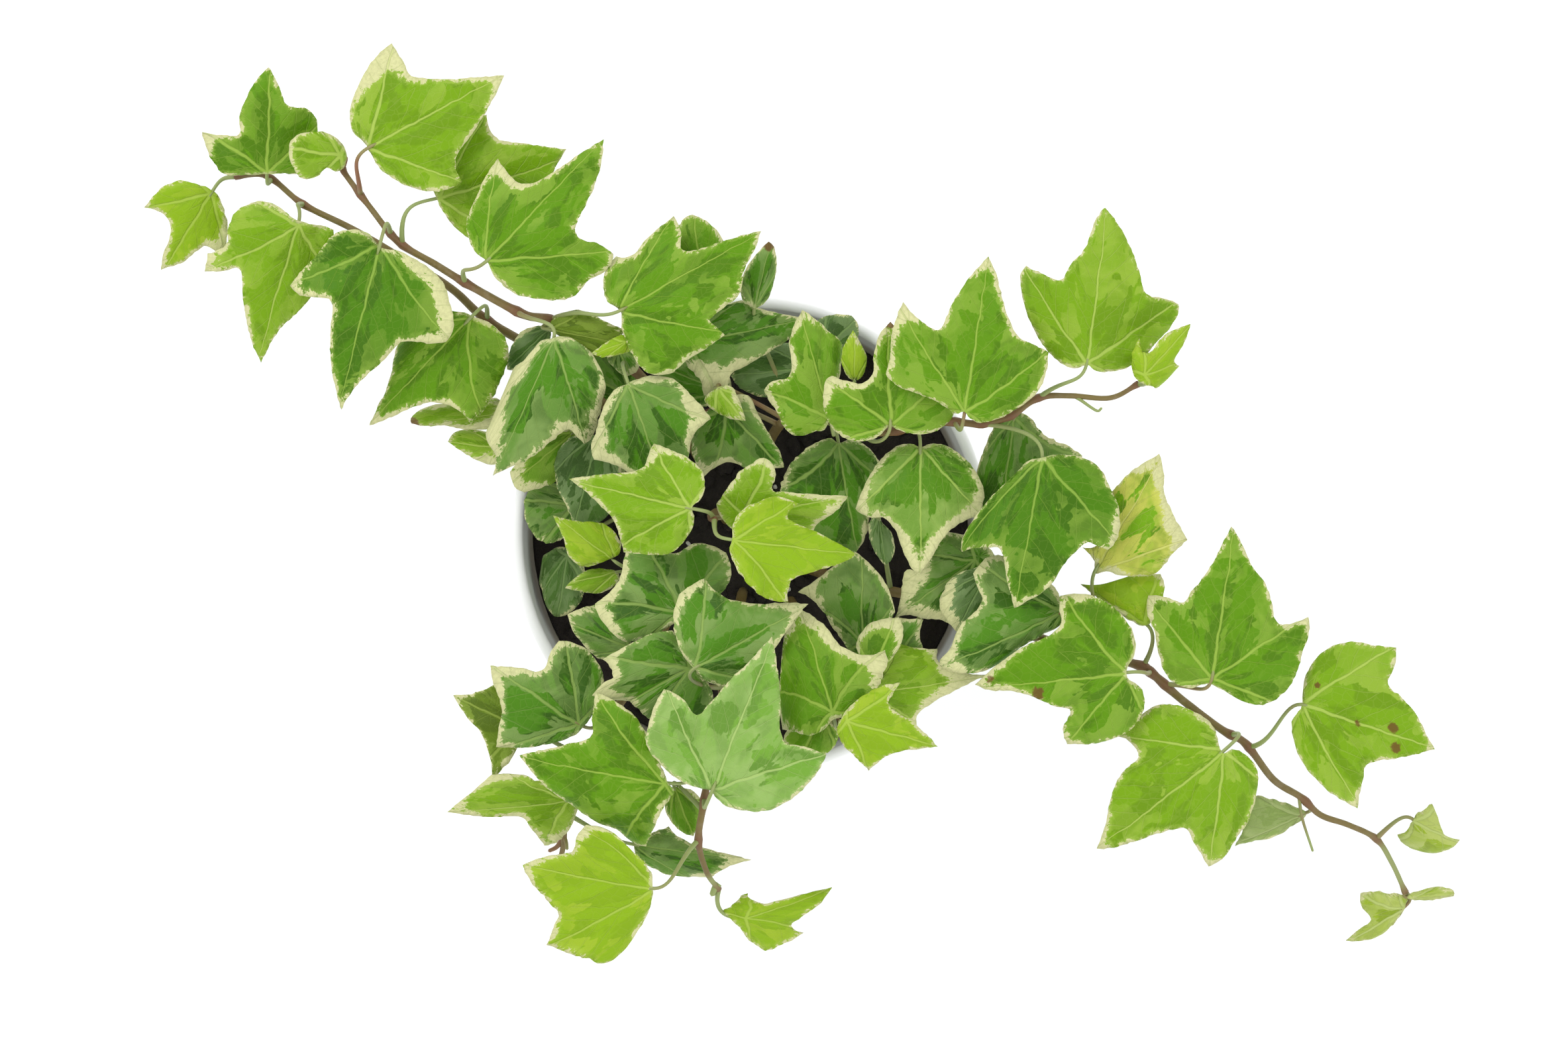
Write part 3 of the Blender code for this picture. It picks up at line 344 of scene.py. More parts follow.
         "centre_shoot", (-9.5, 4.7, 38), (-5, 4.5, 40),
         ((-8.4, 7), (-7, 10.3), (-4.8, 13.3), (-2.6, 16), (0.5, 18.4), (3.4, 19.5), (5.4, 18), (6.3, 14.5),
         (5.6, 11.4), (9, 11), (15, 10.6), (24.4, 9.9, 1), (22, 7), (18.4, 4.2), (16.4, 2.6),
         (15.4, 0.6, 1), (11, -1), (4, -2), (-2, 0), (-6, 3)),
         ((3.5, 18, 0.8), (20, 8.5, 1.6), (15.5, 2, 1.2)), 0.5),
    Leaf("centre_leaf_4", "dark", (-30.5, 38, 38), (-20, 8, 35), (-10, 29, 36), (-39.5, 21, 37),
         "back_left_upper_vine", (-30, 41.5, 18.5), (-33, 45, 35),
         ((-30.8, 38), (-27, 39.6), (-23, 40), (-19.5, 39.3), (-16.4, 36.8), (-13.6, 34), (-11.4, 31.4),
         (-9.9, 29.2, 1), (-12.6, 27.2), (-14.3, 25.2), (-15.2, 21.5), (-17, 14), (-20, 8, 1), (-26, 12.5),
         (-30, 15.6), (-33.5, 17.6), (-39, 19, 1), (-39.8, 22), (-38.5, 26.5), (-37.4, 30.5), (-35.8, 34),
         (-33.4, 36.8)),
         ((-37.8, 23, 2), (-37, 19.5, 2), (-35, 33, 0.8), (-14.5, 32, 1.8), (-13.5, 28, 1.8),
         (-24, 39.3, 0.8), (-31, 17, 1)), 0.7),
    Leaf("centre_leaf_5", "dark", (-17, -19, 35), (-29, 5, 32), (-39.5, -17, 31), (-5, -4, 36),
         "front_vine", (-4, -24, 8), None,
         ((-17, -21), (-12, -19), (-7, -14), (-4.8, -9.7), (-6.2, -4.2, 1), (-13, -1.8), (-20, -4.4),
         (-29, 4, 1), (-31, -4), (-33.5, -12), (-38.9, -17, 1), (-37.2, -21), (-31.5, -26.3), (-25, -25)),
         ((-37, -18, 3), (-32, -8, 1.6), (-7, -6, 1.2)), 0.5),
    Leaf("centre_leaf_6", "dark", (-14, -33, 47), (14, -17.5, 46), (-11, -11, 46), (5, -37, 45),
         "front_vine", (-6.5, -37, 25), (-13, -38, 41),
         ((-13.6, -33.6), (-17, -29.5), (-18.9, -24), (-18.9, -18.4), (-17, -14), (-11.5, -10.8, 1),
         (-8.7, -13.6), (-5.5, -15.7), (1.6, -17), (8, -16.6), (14.4, -17, 1), (11, -21), (7.4, -26.3),
         (4.5, -31), (4, -37, 1), (-4, -38), (-10.5, -36.5)),
         ((-15, -15, 1), (9, -18, 1.5), (-18.5, -21, 0.8), (3, -34, 1)), 0.5),
    Leaf("centre_leaf_7", "dark", (-15.5, -33, 39), (-37, -30, 38), (-42, -48, 33), (-21, -22.5, 41),
         "front_vine", (-5.5, -32, 18.5), (-9, -31, 36),
         ((-13.6, -33), (-16.5, -28.5), (-19.6, -23.8, 1), (-24.5, -24.3), (-30.2, -27), (-37, -31, 1),
         (-34.2, -35.2), (-36.5, -36.4), (-39.6, -39.8, 1), (-35, -41), (-30.2, -41.4), (-25.5, -45.5),
         (-18, -47.2), (-11.5, -45), (-9.5, -39), (-12, -34.8)),
         ((-36, -31.5, 1.6), (-37, -38, 1.8), (-30, -41, 1)), 0.5),
    # Its pale finish carries a painted sheen in its pale patches, as well as its variegation.
    Leaf("front_leaf_1", "pale", (-9.5, -63.5, 50), (6, -25, 56), (-21, -38, 54), (18.5, -54.5, 53),
         "front_vine", (-11.5, -66, 35), None,
         ((-10, -63.8), (-15.5, -62), (-21, -58.5), (-26, -52), (-25.2, -46.5), (-23.8, -42),
         (-21.6, -38.2, 1), (-17, -40.4), (-13.4, -44.6), (-10.2, -41.9), (-5.1, -35.9), (0.2, -30.6),
         (5.4, -24.9, 1), (6.6, -31.9), (7.5, -39.9), (8.2, -50.8), (13.4, -52.3), (19, -54.4, 1),
         (16.1, -59.8), (9.5, -66.2), (2.8, -68.6), (-4.6, -67.9), (-8.2, -66)), ((-21.5, -41, 0.6),), 0.4),
    Leaf("front_leaf_2", "mid", (-21, -61.5, 43), (-60.5, -54.5, 40), (-33, -78, 30), (-38.5, -39, 41),
         "front_vine", (-10.5, -58, 36), None,
         ((-20.8, -61), (-23.5, -53.5), (-27.3, -46.8), (-31.6, -42.2), (-38.9, -39.6, 1), (-39.6, -45),
         (-39.9, -50.2), (-46.2, -51.8), (-52.9, -53.6), (-57.8, -55.2, 1), (-54.4, -59.4), (-50.2, -63.4),
         (-44.9, -67.1), (-38.3, -71), (-33.5, -73.4), (-30.3, -76.2), (-26.1, -77.6, 1), (-24.2, -73.1),
         (-21.6, -67.7), (-19.2, -64)), ((-55, -55.5, 0.6), (-38.6, -41, 0.6)), 0.5),
    Leaf("front_leaf_3", "lime", (-24, -88, 38), (-57, -82, 36), (-51, -103, 31), (-42, -73, 43),
         "front_vine", (-13, -76, 30), (-19, -82, 35),
         ((-24.4, -87.6), (-26, -82), (-30.3, -77.7), (-35.6, -73.7), (-41, -72.2, 1), (-43.4, -75),
         (-44.8, -79), (-51.5, -80.3), (-57, -82.4, 1), (-54.9, -86.3), (-50.9, -90.3), (-48, -94.4),
         (-49.4, -98), (-51, -102.4, 1), (-47.6, -103.7), (-40.9, -105), (-36.3, -106.9), (-31.6, -103.6),
         (-27.7, -98.2), (-25, -92.9)), ((-41.5, -74, 1.4), (-55, -83, 0.8), (-49, -101, 0.8)), 0.6),
    Leaf("front_leaf_4", "dark", (-30, -77, 17), (0, -80.5, 14), (-17, -70, 17), (-15, -86, 12),
         "front_left_vine", (-46.3, -69, 8.5), (-37, -75, 9),
         ((-29, -78), (-25, -75), (-20.5, -72.8, 1), (-16, -76.6), (-9.1, -78.6), (0.2, -81.1, 1),
         (-5.1, -82.6), (-10, -85.4, 1), (-18.4, -85.2), (-26, -82.5)),
         ((-12, -83.5, 1.2), (-3, -81, 0.6)), 0.5),
    Leaf("front_leaf_5", "lime", (-1.5, -95.5, 12), (20.5, -88.5, 9), (0, -90, 13), (13.5, -99.5, 6),
         "front_vine", (-8, -88.5, 18), (-9.5, -95, 13),
         ((-5.1, -95.8), (-7.2, -94.2, 1), (-3.9, -91.8), (-0.8, -89.4, 1), (2, -92), (8.1, -91),
         (20.7, -88.4, 1), (16.1, -92.9), (12, -95.8), (10.4, -98), (13.6, -99.8, 1), (9.3, -101.6),
         (3.5, -104, 1), (-0.9, -100.9), (-3.1, -97.6)), (), 0.3),
    Leaf("front_leaf_6", "dark", (-43, -47, 27), (-65, -32, 26), (-64, -53.5, 20), (-46, -26.5, 28),
         "front_left_vine", (-35, -45, 13), None,
         ((-42.9, -49), (-38.6, -43), (-36.7, -36), (-38.3, -31.6), (-42.3, -27.6), (-47.8, -26.2, 1),
         (-49.7, -28.6), (-52.2, -33.6), (-58.2, -33), (-65, -32.4, 1), (-64.1, -37.2), (-62.2, -42.5),
         (-63, -48), (-63.7, -52.8, 1), (-55.5, -52.9), (-47.6, -51.3)),
         ((-62, -34.5, 2), (-62, -51, 1.6), (-51, -31, 1.2), (-46, -28, 0.8)), 0.6),
    Leaf("front_leaf_7", "light", (-45, -66, 20), (-76, -69, 12), (-51, -78, 13), (-60, -60, 18),
         "front_left_vine", (-44, -60, 12), None,
         ((-44, -66), (-50, -62.5), (-57, -60), (-65, -60, 1), (-70.1, -64.2), (-76, -69.2, 1),
         (-66.1, -70.3), (-57.4, -70.6), (-54.4, -73.5), (-51.6, -77.6, 1), (-47.4, -75.8), (-44, -71)),
         ((-72, -67, 1.5), (-62, -61.5, 1.5), (-56, -71, 1), (-50, -76, 0.8)), 0.5),
    Leaf("front_leaf_8", "mid", (20.5, -44, 44.5), (11, -14, 40), (8, -39, 43), (33, -29, 42),
         "front_shoot", (20.5, -43.5, 31), (21, -49, 40),
         ((21.5, -45.6), (17.5, -48.8), (13.4, -49.6), (8, -48, 1), (7.2, -41), (7.6, -33), (9, -22),
         (9.6, -16.6, 1), (14, -19), (18.8, -22.7), (22.7, -27.6), (28, -29.6), (33.6, -28.4, 1),
         (34, -32.5), (30.6, -40), (26, -45.2)),
         ((10.5, -22, 1.6), (18, -22.5, 2.2), (26, -29, 2.2), (32, -30, 2.2), (9, -44, 0.8)), 0.7),
    Leaf("front_leaf_9", "light", (29, -39.5, 34), (59, -35, 22), (36, -27, 31), (42, -48, 27),
         "front_shoot", (19, -39, 28), None,
         ((30, -39), (32.5, -34), (33.5, -29.5), (36.5, -26.6, 1), (41, -27.8), (46.8, -28.3, 1),
         (47, -31.4), (50, -33.4), (59.5, -34.8, 1), (54, -37), (49, -39.8), (44.5, -42.4), (41.6, -45),
         (42.2, -48.6, 1), (38, -46.6), (34, -43)),
         ((55, -35.4, 2), (48.5, -37.5, 2), (44, -41, 1.2), (46, -29.8, 1.2)), 0.6),
    Leaf("front_leaf_10", "lime", (24, -46, 51), (47, -52.5, 47), (37, -37, 51), (29.5, -58.5, 47),
         "front_shoot", (23.5, -50, 40), (23, -49, 50),
         ((21.6, -47.5), (25, -42.5), (29.4, -39), (37.5, -36.6, 1), (35.4, -39.8), (34.6, -42.4),
         (40, -46), (46.8, -52.7, 1), (41, -53.2), (37, -53.6), (33, -55.5), (29.6, -58.8, 1), (26, -55),
         (22.6, -51.4)), (), 0.3),
    Leaf("front_leaf_11", "dark", (28, -27, 26), (28, -4, 25), (17, -18, 26), (35, -18, 27),
         "front_shoot", (14, -26, 8), None,
         ((27, -30.5), (22, -25), (17, -17.6), (12, -14, 1), (19, -9), (25.6, -3.6, 1), (30.8, -7.9),
         (34.6, -13.4), (36.2, -19, 1), (33, -25), (30, -29.5)),
         ((15, -16, 1.6), (27, -6, 1.2), (34, -14, 1.2)), 0.6),
]


def small(name, finish, base, tip, left, right, rim, cream, margin):
    """A leaf that the CAD part leaves out. Its stalk goes to the nearest stem."""
    return Leaf(name, finish, base, tip, left, right, None, None, None, rim, cream, margin)


FILLERS = [
    small("back_small_1", "mid", (-12, 60, 36), (-14, 80, 36), (-22, 72, 35), (-6, 74, 35),
         ((-12, 60), (-19, 64), (-20, 72), (-16.5, 79.6), (-13.5, 80), (-9, 77), (-6.6, 72.5), (-8, 64)),
         (), 0.5),
    small("back_small_2", "dark", (1, 57, 34), (5, 73.5, 35), (-2, 63, 34), (6.5, 66, 34),
         ((1, 57), (-2.4, 60), (-1.5, 66), (1.5, 70.5), (4.6, 73.6, 1), (6.3, 71), (6.4, 66), (4.5, 59.5)),
         ((5, 58, 0.6),), 0.4),
    small("back_small_3", "grey", (14, 42, 24), (-5, 40, 22), (3, 34, 22), (5, 47, 22),
         ((12, 48), (6, 47.6), (0, 44.6), (-4.8, 40, 1), (-2.5, 37), (1, 35.2), (4, 34.6, 1), (7, 37),
         (12, 39)), (), 0.4),
    small("back_small_4", "grey", (18, 46, 8), (27, 55, 6), (19, 54, 6), (27, 46, 6),
         ((17, 47), (16.6, 53.6), (20.5, 55.3), (25.4, 55.2, 1), (27, 52.6), (26.6, 48), (23.5, 43.6)),
         (), 0.4),
    small("left_small_1", "light", (-60, 31, 14), (-85, 27.5, 12), (-69, 23.5, 12), (-68, 35.5, 12),
         ((-60, 30.5), (-62.5, 33.8), (-66, 34.6), (-70, 33.8), (-74.5, 33.5), (-81.5, 32.2),
         (-85, 28.2, 1), (-81, 27.4), (-76.8, 27.6), (-71, 26.6), (-65, 27)),
         ((-66, 29, 2.2), (-74, 32, 0.6)), 0.7),
    small("left_small_2", "light", (-63, 22, 12), (-76, 23.5, 11), (-70, 18, 11), (-70, 26, 11),
         ((-63, 22), (-66, 26), (-71.9, 26.7), (-75.8, 23.6, 1), (-72, 21), (-66, 18), (-62, 19)),
         ((-64, 22, 1.5),), 0.4),
    small("left_small_3", "grey", (-50, 52, 24), (-61, 42, 22), (-52, 44, 22), (-59, 50, 22),
         ((-50, 51.8), (-54, 52.4), (-57.6, 51), (-59.3, 48.5), (-60.6, 45), (-60.9, 41.6, 1), (-56.5, 42),
         (-52, 45)), (), 0.4),
    small("left_small_4", "olive", (-50, 51.5, 35), (-31, 48, 34.5), (-42, 56, 35), (-40, 45, 34.5),
         ((-50, 52), (-48.3, 54.9), (-44.5, 56.4), (-40.4, 56), (-37.4, 54.2), (-31.4, 51.6, 1), (-34, 48),
         (-39, 44.6), (-44, 47.5)), (), 0.4),
    small("left_small_5", "lime", (-31, 48.5, 40), (-39, 45.5, 40), (-35.5, 45, 40), (-35, 49.5, 40),
         ((-31.6, 50.2), (-35, 49), (-39.8, 45.6, 1), (-37, 44.6), (-34, 45), (-30, 46.2)), (), 0.2),
    small("left_small_6", "dark", (-33, 47, 31), (-30, 39.5, 30), (-28.5, 44, 30), (-34.5, 42, 30),
         ((-35.8, 45), (-34.5, 42.3), (-31.5, 40, 1), (-28.6, 41), (-27.8, 44), (-30, 47)),
         ((-29, 42.5, 1.2),), 0.4),
    small("back_small_5", "light", (-8, 37, 31.5), (-2, 29, 30.5), (-1, 35, 31.5), (-9, 31, 31),
         ((-9, 36.6), (-5, 37.6), (-3.2, 35), (-1.2, 28.8, 1), (-5, 29.4), (-9, 31.2), (-11.5, 34)),
         ((-4, 31, 0.8),), 0.6),
    small("centre_small_1", "dark", (-6, 32, 26), (8, 17, 22), (6, 30, 24), (-9, 17, 22),
         ((-6, 34), (-0.6, 35.2), (1.6, 31), (5, 25), (7.4, 21), (8.3, 17.2, 1), (4, 16.9), (-1, 17.3),
         (-6, 18.3), (-12, 14.6, 1), (-14.6, 21), (-14, 27), (-10.5, 31.6)),
         ((0.5, 32.5, 1.4), (-9.5, 17, 1.4), (5, 25, 0.3)), 0.4),
    small("centre_small_2", "grey", (32, 5, 24), (34, -7.5, 23), (36, -1, 23), (29.5, -1, 23),
         ((31, 4.8), (33.4, 3), (35.6, 0), (36.2, -3.2), (33.8, -7.4, 1), (31.4, -4.4), (29.8, -0.5),
         (29.6, 3)), (), 0.3),
    small("right_small_1", "grey", (60, -8, 28.5), (51, -24.5, 28.5), (59, -19, 28.5), (48, -15, 29),
         ((60, -8), (54, -8.6), (50, -11), (47.8, -15), (47.6, -18.4), (51.4, -24, 1), (57, -20),
         (61, -13)), ((48.5, -16, 2), (50.5, -22, 1.2)), 0.5),
    small("front_small_1", "mid", (31, -34, 35), (36, -20.5, 33), (27, -26, 34), (42, -25, 33),
         ((31, -34), (27.4, -30.5), (26.6, -26.8), (28.6, -23), (32.4, -20.9), (37, -20.4, 1),
         (38.2, -23.5), (37.4, -27.5), (35, -31)), ((36, -22.5, 2), (29, -24, 0.8)), 0.6),
    small("front_small_4", "dark", (37, -30, 25.5), (43.4, -20.8, 25), (36, -24, 25), (45, -27, 25),
         ((37, -30), (36.2, -24), (36.6, -20.5, 1), (43.3, -20.9, 1), (42.4, -24.5), (43.2, -28, 1)),
         ((42, -22, 1),), 0.6),
    small("front_small_2", "mid", (18, -45, 34), (12, -56, 32), (21, -52, 32), (8, -50, 32),
         ((18, -45), (12, -46.5), (8.4, -50), (9.6, -53), (12, -56.4, 1), (16, -55.4), (20.8, -53),
         (22, -49)), (), 0.4),
    small("left_small_7", "olive", (-57, -48, 14), (-75, -40, 12), (-66, -57, 12), (-64, -37, 12),
         ((-57, -48), (-59, -40), (-64, -37, 1), (-68, -39), (-74.6, -39.8, 1), (-71, -45.5), (-67, -50),
         (-64.8, -60, 1), (-60, -56)), (), 0.5),
    small("front_small_3", "mid", (-19, -63, 30), (-14.5, -74.5, 26), (-12, -68, 27), (-20, -70, 27),
         ((-19, -63), (-14, -64), (-11.6, -68), (-14.3, -75, 1), (-19, -72.5), (-21.4, -68)), (), 0.4),
    small("left_small_8", "lime", (-33, -7, 24), (-50, 6, 20), (-44, -8, 20), (-38, 5, 22),
         ((-32.6, -4), (-33.5, 0.5), (-37.5, 3.2), (-43.5, 3.7), (-49.6, 5.1, 1), (-46.8, -0.8),
         (-44.8, -5.8), (-40.8, -7.9, 1), (-35.5, -6)), (), 0.3),
    small("left_small_9", "light", (-33, -9, 18), (-46, -12, 15), (-40, -14.5, 16), (-39, -7, 16),
         ((-33, -9.5), (-37, -8.2), (-41.5, -8.9), (-46.3, -13.1, 1), (-42, -14), (-38, -14.4),
         (-34, -12.4)), (), 0.3),
    small("left_small_10", "dark", (-30, -28, 22), (-46, -21.5, 18), (-42, -30, 18), (-38, -17, 19),
         ((-30, -28), (-33, -20), (-37, -17.4), (-41, -17.7), (-45.8, -19.6, 1), (-44, -24.5),
         (-38.2, -30.6, 1), (-33, -31)), ((-43, -21, 0.8),), 0.5),
    small("left_small_11", "grey", (-38, 26, 20), (-43.5, 4.5, 16), (-31, 12, 17), (-49, 16, 16),
         ((-43.3, 25.4), (-46.8, 23.3), (-48.8, 19.5), (-49, 15), (-47.8, 11), (-46, 7), (-44, 2, 1),
         (-37, 4), (-33, 11), (-32.6, 18), (-36, 23.6), (-40, 25.6)), ((-48.6, 15, 0.5),), 0.4),
    small("left_small_12", "mid", (-44, 26, 16), (-59.5, 13.5, 12), (-47, 14, 13), (-57, 24, 13),
         ((-44, 26.5), (-50, 25.6), (-56.5, 20.6), (-60.2, 16, 1), (-59, 12.4), (-56.5, 11, 1),
         (-50.5, 12.7), (-46.5, 15), (-43, 20)), ((-58.3, 14, 2.4),), 0.6),
    small("left_small_13", "dark", (-44, 8, 5), (-56, 9, 4), (-51, -1, 4), (-51, 13, 4),
         ((-43, 10), (-48, 13.2), (-54, 12.6), (-56.8, 8.6, 1), (-56, 3), (-52, -1.6), (-46, 0),
         (-43, 4.5)), (), 0.4),
    small("left_small_14", "grey", (-46, -5, -4), (-49, -24, -6), (-40, -15, -5), (-52, -14, -5),
         ((-46, -3), (-50.5, -4), (-53, -8), (-52.4, -13.6), (-50, -19.6), (-46.5, -20, 1), (-42, -15),
         (-42, -7)), (), 0.4),
    small("back_bud", "lime", (26, 38, 42), (26, 51, 44), (22.5, 45, 43), (29.5, 45, 43),
         ((26.3, 38.7), (23.8, 40.4), (22.7, 44), (23.5, 47.6), (25.6, 51.4, 1), (27.6, 48), (29.1, 44.5),
         (28.5, 41)), (), 0.2),
    small("front_right_bud", "young", (166, -91, -14.5), (176.5, -90.5, -15.5), (171, -88.5, -14.5),
         (171, -92.5, -15.5),
         ((165, -90.8), (171, -88.3), (175.6, -88.5), (176.7, -90.6, 1), (170.4, -91.5)), (), 0.2),
    small("left_small_15", "dark", (-30, 35, 0), (-44, 42, 3), (-40, 34, 1), (-34, 47, 3),
         ((-29, 35), (-35, 32.5), (-41, 35), (-44.5, 41, 1), (-41, 46), (-34, 48), (-28.5, 42)), (), 0.4),
    small("back_small_6", "dark", (-6, 36, 6), (-24, 43, 4), (-16, 34, 5), (-11, 46, 5),
         ((-5, 36), (-9, 33), (-16, 33), (-21, 37), (-24, 43, 1), (-18, 46.5), (-11, 46), (-6, 41)),
         (), 0.4),
]

# Where along its length a stem turns from brown to pale green
YOUNG_FROM = {"front_right_vine": 0.84, "front_vine": 0.86}

# Short extra shoots: radius, then points as in STEMS.
SPRIGS = {
    "tendril": (0.45, (81, 34.8, 41.5), (82.7, 33.8, 42), (85.1, 32.1, 42.5), (86.8, 31.2, 43),
                (87.7, 31.9, 43.5)),
    "front_stub_1": (0.7, (-47.2, -76, 2.5), (-48.6, -78, 2), (-50.5, -79, 2)),
    "front_stub_2": (0.6, (-46.8, -75, 4), (-46.2, -77, 4.5), (-46, -78.5, 4.5)),
    "front_bud": (1.0, (-8, -87, 18.5), (-9, -88.4, 18.5), (-9.6, -89.8, 18)),
    "right_stub": (0.45, (137.5, -65.4, 6), (138.4, -71, 5), (141, -79, 3)),
}

# Scorched spots on a leaf: (across, back, size)
SPOTS = {
    "front_right_leaf_5": ((71.8, -39.1, 1.8), (60, -36, 1.0)),
    "front_right_leaf_7": ((161, -48, 1.6), (161.5, -53, 1.6), (152, -47, 1.0), (142, -37.5, 1.0)),
    "back_right_leaf_1": ((34.8, 53, 1.4),),
    "back_small_2": ((4.8, 72.5, 1.6),),
    "left_small_1": ((-84.5, 28.3, 1.6),),
}

# A blade's finish: its slot in the record, base green, pale patch, vein, how much is patched, how dark its
# dark zones are, and sheen.
BLADES = {
    "dark": ("leaf_dark", (0.046, 0.14, 0.003), (0.18, 0.28, 0.07), (0.23, 0.34, 0.075), 0.44, 0.66, 0.16),
    "deep": ("leaf_mid", (0.05, 0.145, 0.001), (0.15, 0.26, 0.025), (0.23, 0.36, 0.05), 0.34, 0.84, 0.14),
    "mid": ("leaf_mid", (0.078, 0.195, 0.001), (0.18, 0.31, 0.026), (0.27, 0.4, 0.055), 0.38, 0.84, 0.14),
    "varied": ("leaf_mid", (0.06, 0.165, 0.002), (0.23, 0.35, 0.07), (0.3, 0.43, 0.08), 0.5, 0.8, 0.16),
    "light": ("leaf_light", (0.138, 0.272, 0.003), (0.235, 0.365, 0.03), (0.35, 0.465, 0.085), 0.38, 0.9, 0.14),
    "lime": ("leaf_lime", (0.2, 0.34, 0.006), (0.28, 0.4, 0.02), (0.33, 0.45, 0.06), 0.3, 0.95, 0.14),
    "grey": ("leaf_dark", (0.055, 0.12, 0.018), (0.15, 0.23, 0.08), (0.18, 0.28, 0.085), 0.42, 0.8, 0.16),
    "olive": ("leaf_dark", (0.09, 0.15, 0.005), (0.17, 0.25, 0.025), (0.23, 0.31, 0.045), 0.38, 0.85, 0.16),
    # The pale finish's paler, bluer and more plentiful patches are partly the leaf's own variegation and partly
    # a painted sheen: a painted reflection of the soft light.
    "pale": ("leaf_light", (0.112, 0.255, 0.012), (0.24, 0.38, 0.085), (0.32, 0.45, 0.12), 0.52, 0.86, 0.4),
    "dull": ("leaf_light", (0.24, 0.33, 0.085), (0.33, 0.4, 0.15), (0.36, 0.43, 0.17), 0.4, 0.92, 0.14),
    "young": ("leaf_lime", (0.23, 0.32, 0.02), (0.39, 0.45, 0.12), (0.4, 0.47, 0.15), 0.5, 0.9, 0.14),
    "streaked": ("leaf_light", (0.12, 0.26, 0.003), (0.48, 0.49, 0.08), (0.5, 0.52, 0.13), 0.62, 0.8, 0.14),
}
CREAM = (0.56, 0.556, 0.275)
SCORCH = (0.120, 0.045, 0.012)

# Veins, in millimetres along and across the blade
VEIN_TURNS = (90, 40.6, -14)  # tip, side lobes and basal lobes, in degrees up from across the blade
VEIN_WIDTH = 0.66
VEIN_TAPER = 0.012
VEIN_LEAST = 0.20
SIDE_VEIN_GAP = 5.6
SIDE_VEIN_SLANT = 1.15
WANDER = 1.6


def above_rim(place):
    return np.array((place[0], place[1], POT_HEIGHT + place[2]), float)


def unit(v):
    return v / np.linalg.norm(v)


def times(colour, factor):
    return tuple(factor * c for c in colour)


def ring_point(radius, k, sides):
    """The plan place of point k of a ring round the axis."""
    turn = 2 * math.pi * k / sides
    return radius * math.cos(turn), radius * math.sin(turn)


# ---------------------------------------------------------------- node materials


class Nodes:
    """Builds a material's node tree with short calls. Each call returns an output socket."""

    def __init__(self, name):
        self.material = bpy.data.materials.new(name)
        self.material.use_nodes = True
        self.tree = self.material.node_tree
        self.shader = self.tree.nodes["Principled BSDF"]

    def feed(self, socket, value):
        if isinstance(value, bpy.types.NodeSocket):
            self.tree.links.new(value, socket)
        elif isinstance(value, tuple) and len(value) == 3 and socket.type == "RGBA":
            socket.default_value = (*value, 1)
        else:
            socket.default_value = value

    def node(self, kind, out=0, settings=None, **inputs):
        made = self.tree.nodes.new(kind)
        for key, value in (settings or {}).items():
            setattr(made, key, value)
        for key, value in inputs.items():
            self.feed(made.inputs[key.replace("_", " ")], value)
        return made.outputs[out]

    def math(self, operation, a, b=0.0, c=0.0):
        made = self.tree.nodes.new("ShaderNodeMath")
        made.operation = operation
        for socket, value in zip(made.inputs, (a, b, c)):
            self.feed(socket, value)
        return made.outputs[0]

    def step(self, value, low, high):
        """0 where the value is at or under low, 1 at or over high, smooth between."""
        return self.node("ShaderNodeMapRange", 0, {"interpolation_type": "SMOOTHSTEP"},
                         Value=value, From_Min=low, From_Max=high)

    def mix(self, factor, a, b):
        made = self.tree.nodes.new("ShaderNodeMix")
        made.data_type = "RGBA"
        self.feed(made.inputs[0], factor)
        self.feed(made.inputs[6], a)
        self.feed(made.inputs[7], b)
        return made.outputs[2]

    def noise(self, vector, scale, detail=3.0, roughness=0.5, distortion=0.0):
        return self.node("ShaderNodeTexNoise", Vector=vector, Scale=scale, Detail=detail,
                         Roughness=roughness, Distortion=distortion)

    def attribute(self, name, out="Fac"):
        return self.node("ShaderNodeAttribute", out, {"attribute_name": name})

    def own_place(self):
        return self.node("ShaderNodeTexCoord", "Object")

    def finish(self, colour, roughness, height, distance, strength):
        """Feeds the shader, with a bump of the given height map, and returns the material."""
        self.feed(self.shader.inputs["Base Color"], colour)
        self.feed(self.shader.inputs["Roughness"], roughness)
        normal = self.node("ShaderNodeBump", Height=height, Distance=distance, Strength=strength)
        self.feed(self.shader.inputs["Normal"], normal)
        return self.material


def main_veins(n, x, y):
    """The main veins, then the distance from the nearest one and how far out along it that is."""
    side = n.math("ABSOLUTE", x)
    nearest, along = None, None
    for turn in VEIN_TURNS:
        cos, sin = math.cos(math.radians(turn)), math.sin(math.radians(turn))
        run = n.math("ADD", n.math("MULTIPLY", side, cos), n.math("MULTIPLY", y, sin))
        off = n.math("SUBTRACT", n.math("MULTIPLY", side, sin), n.math("MULTIPLY", y, cos))
        behind = n.math("MAXIMUM", n.math("MULTIPLY", run, -1.0), 0.0)
        off = n.math("ADD", n.math("ABSOLUTE", off), behind)
        if nearest is None:
            nearest, along = off, run
            continue
        closer = n.math("LESS_THAN", off, nearest)
        along = n.math("ADD", along, n.math("MULTIPLY", closer, n.math("SUBTRACT", run, along)))
        nearest = n.math("MINIMUM", nearest, off)
    width = n.math("MAXIMUM", n.math("MULTIPLY_ADD", along, -VEIN_TAPER, VEIN_WIDTH), VEIN_LEAST)
    veins = n.math("SUBTRACT", 1.0, n.step(n.math("DIVIDE", nearest, width), 0.35, 1.0))
    return veins, nearest, along


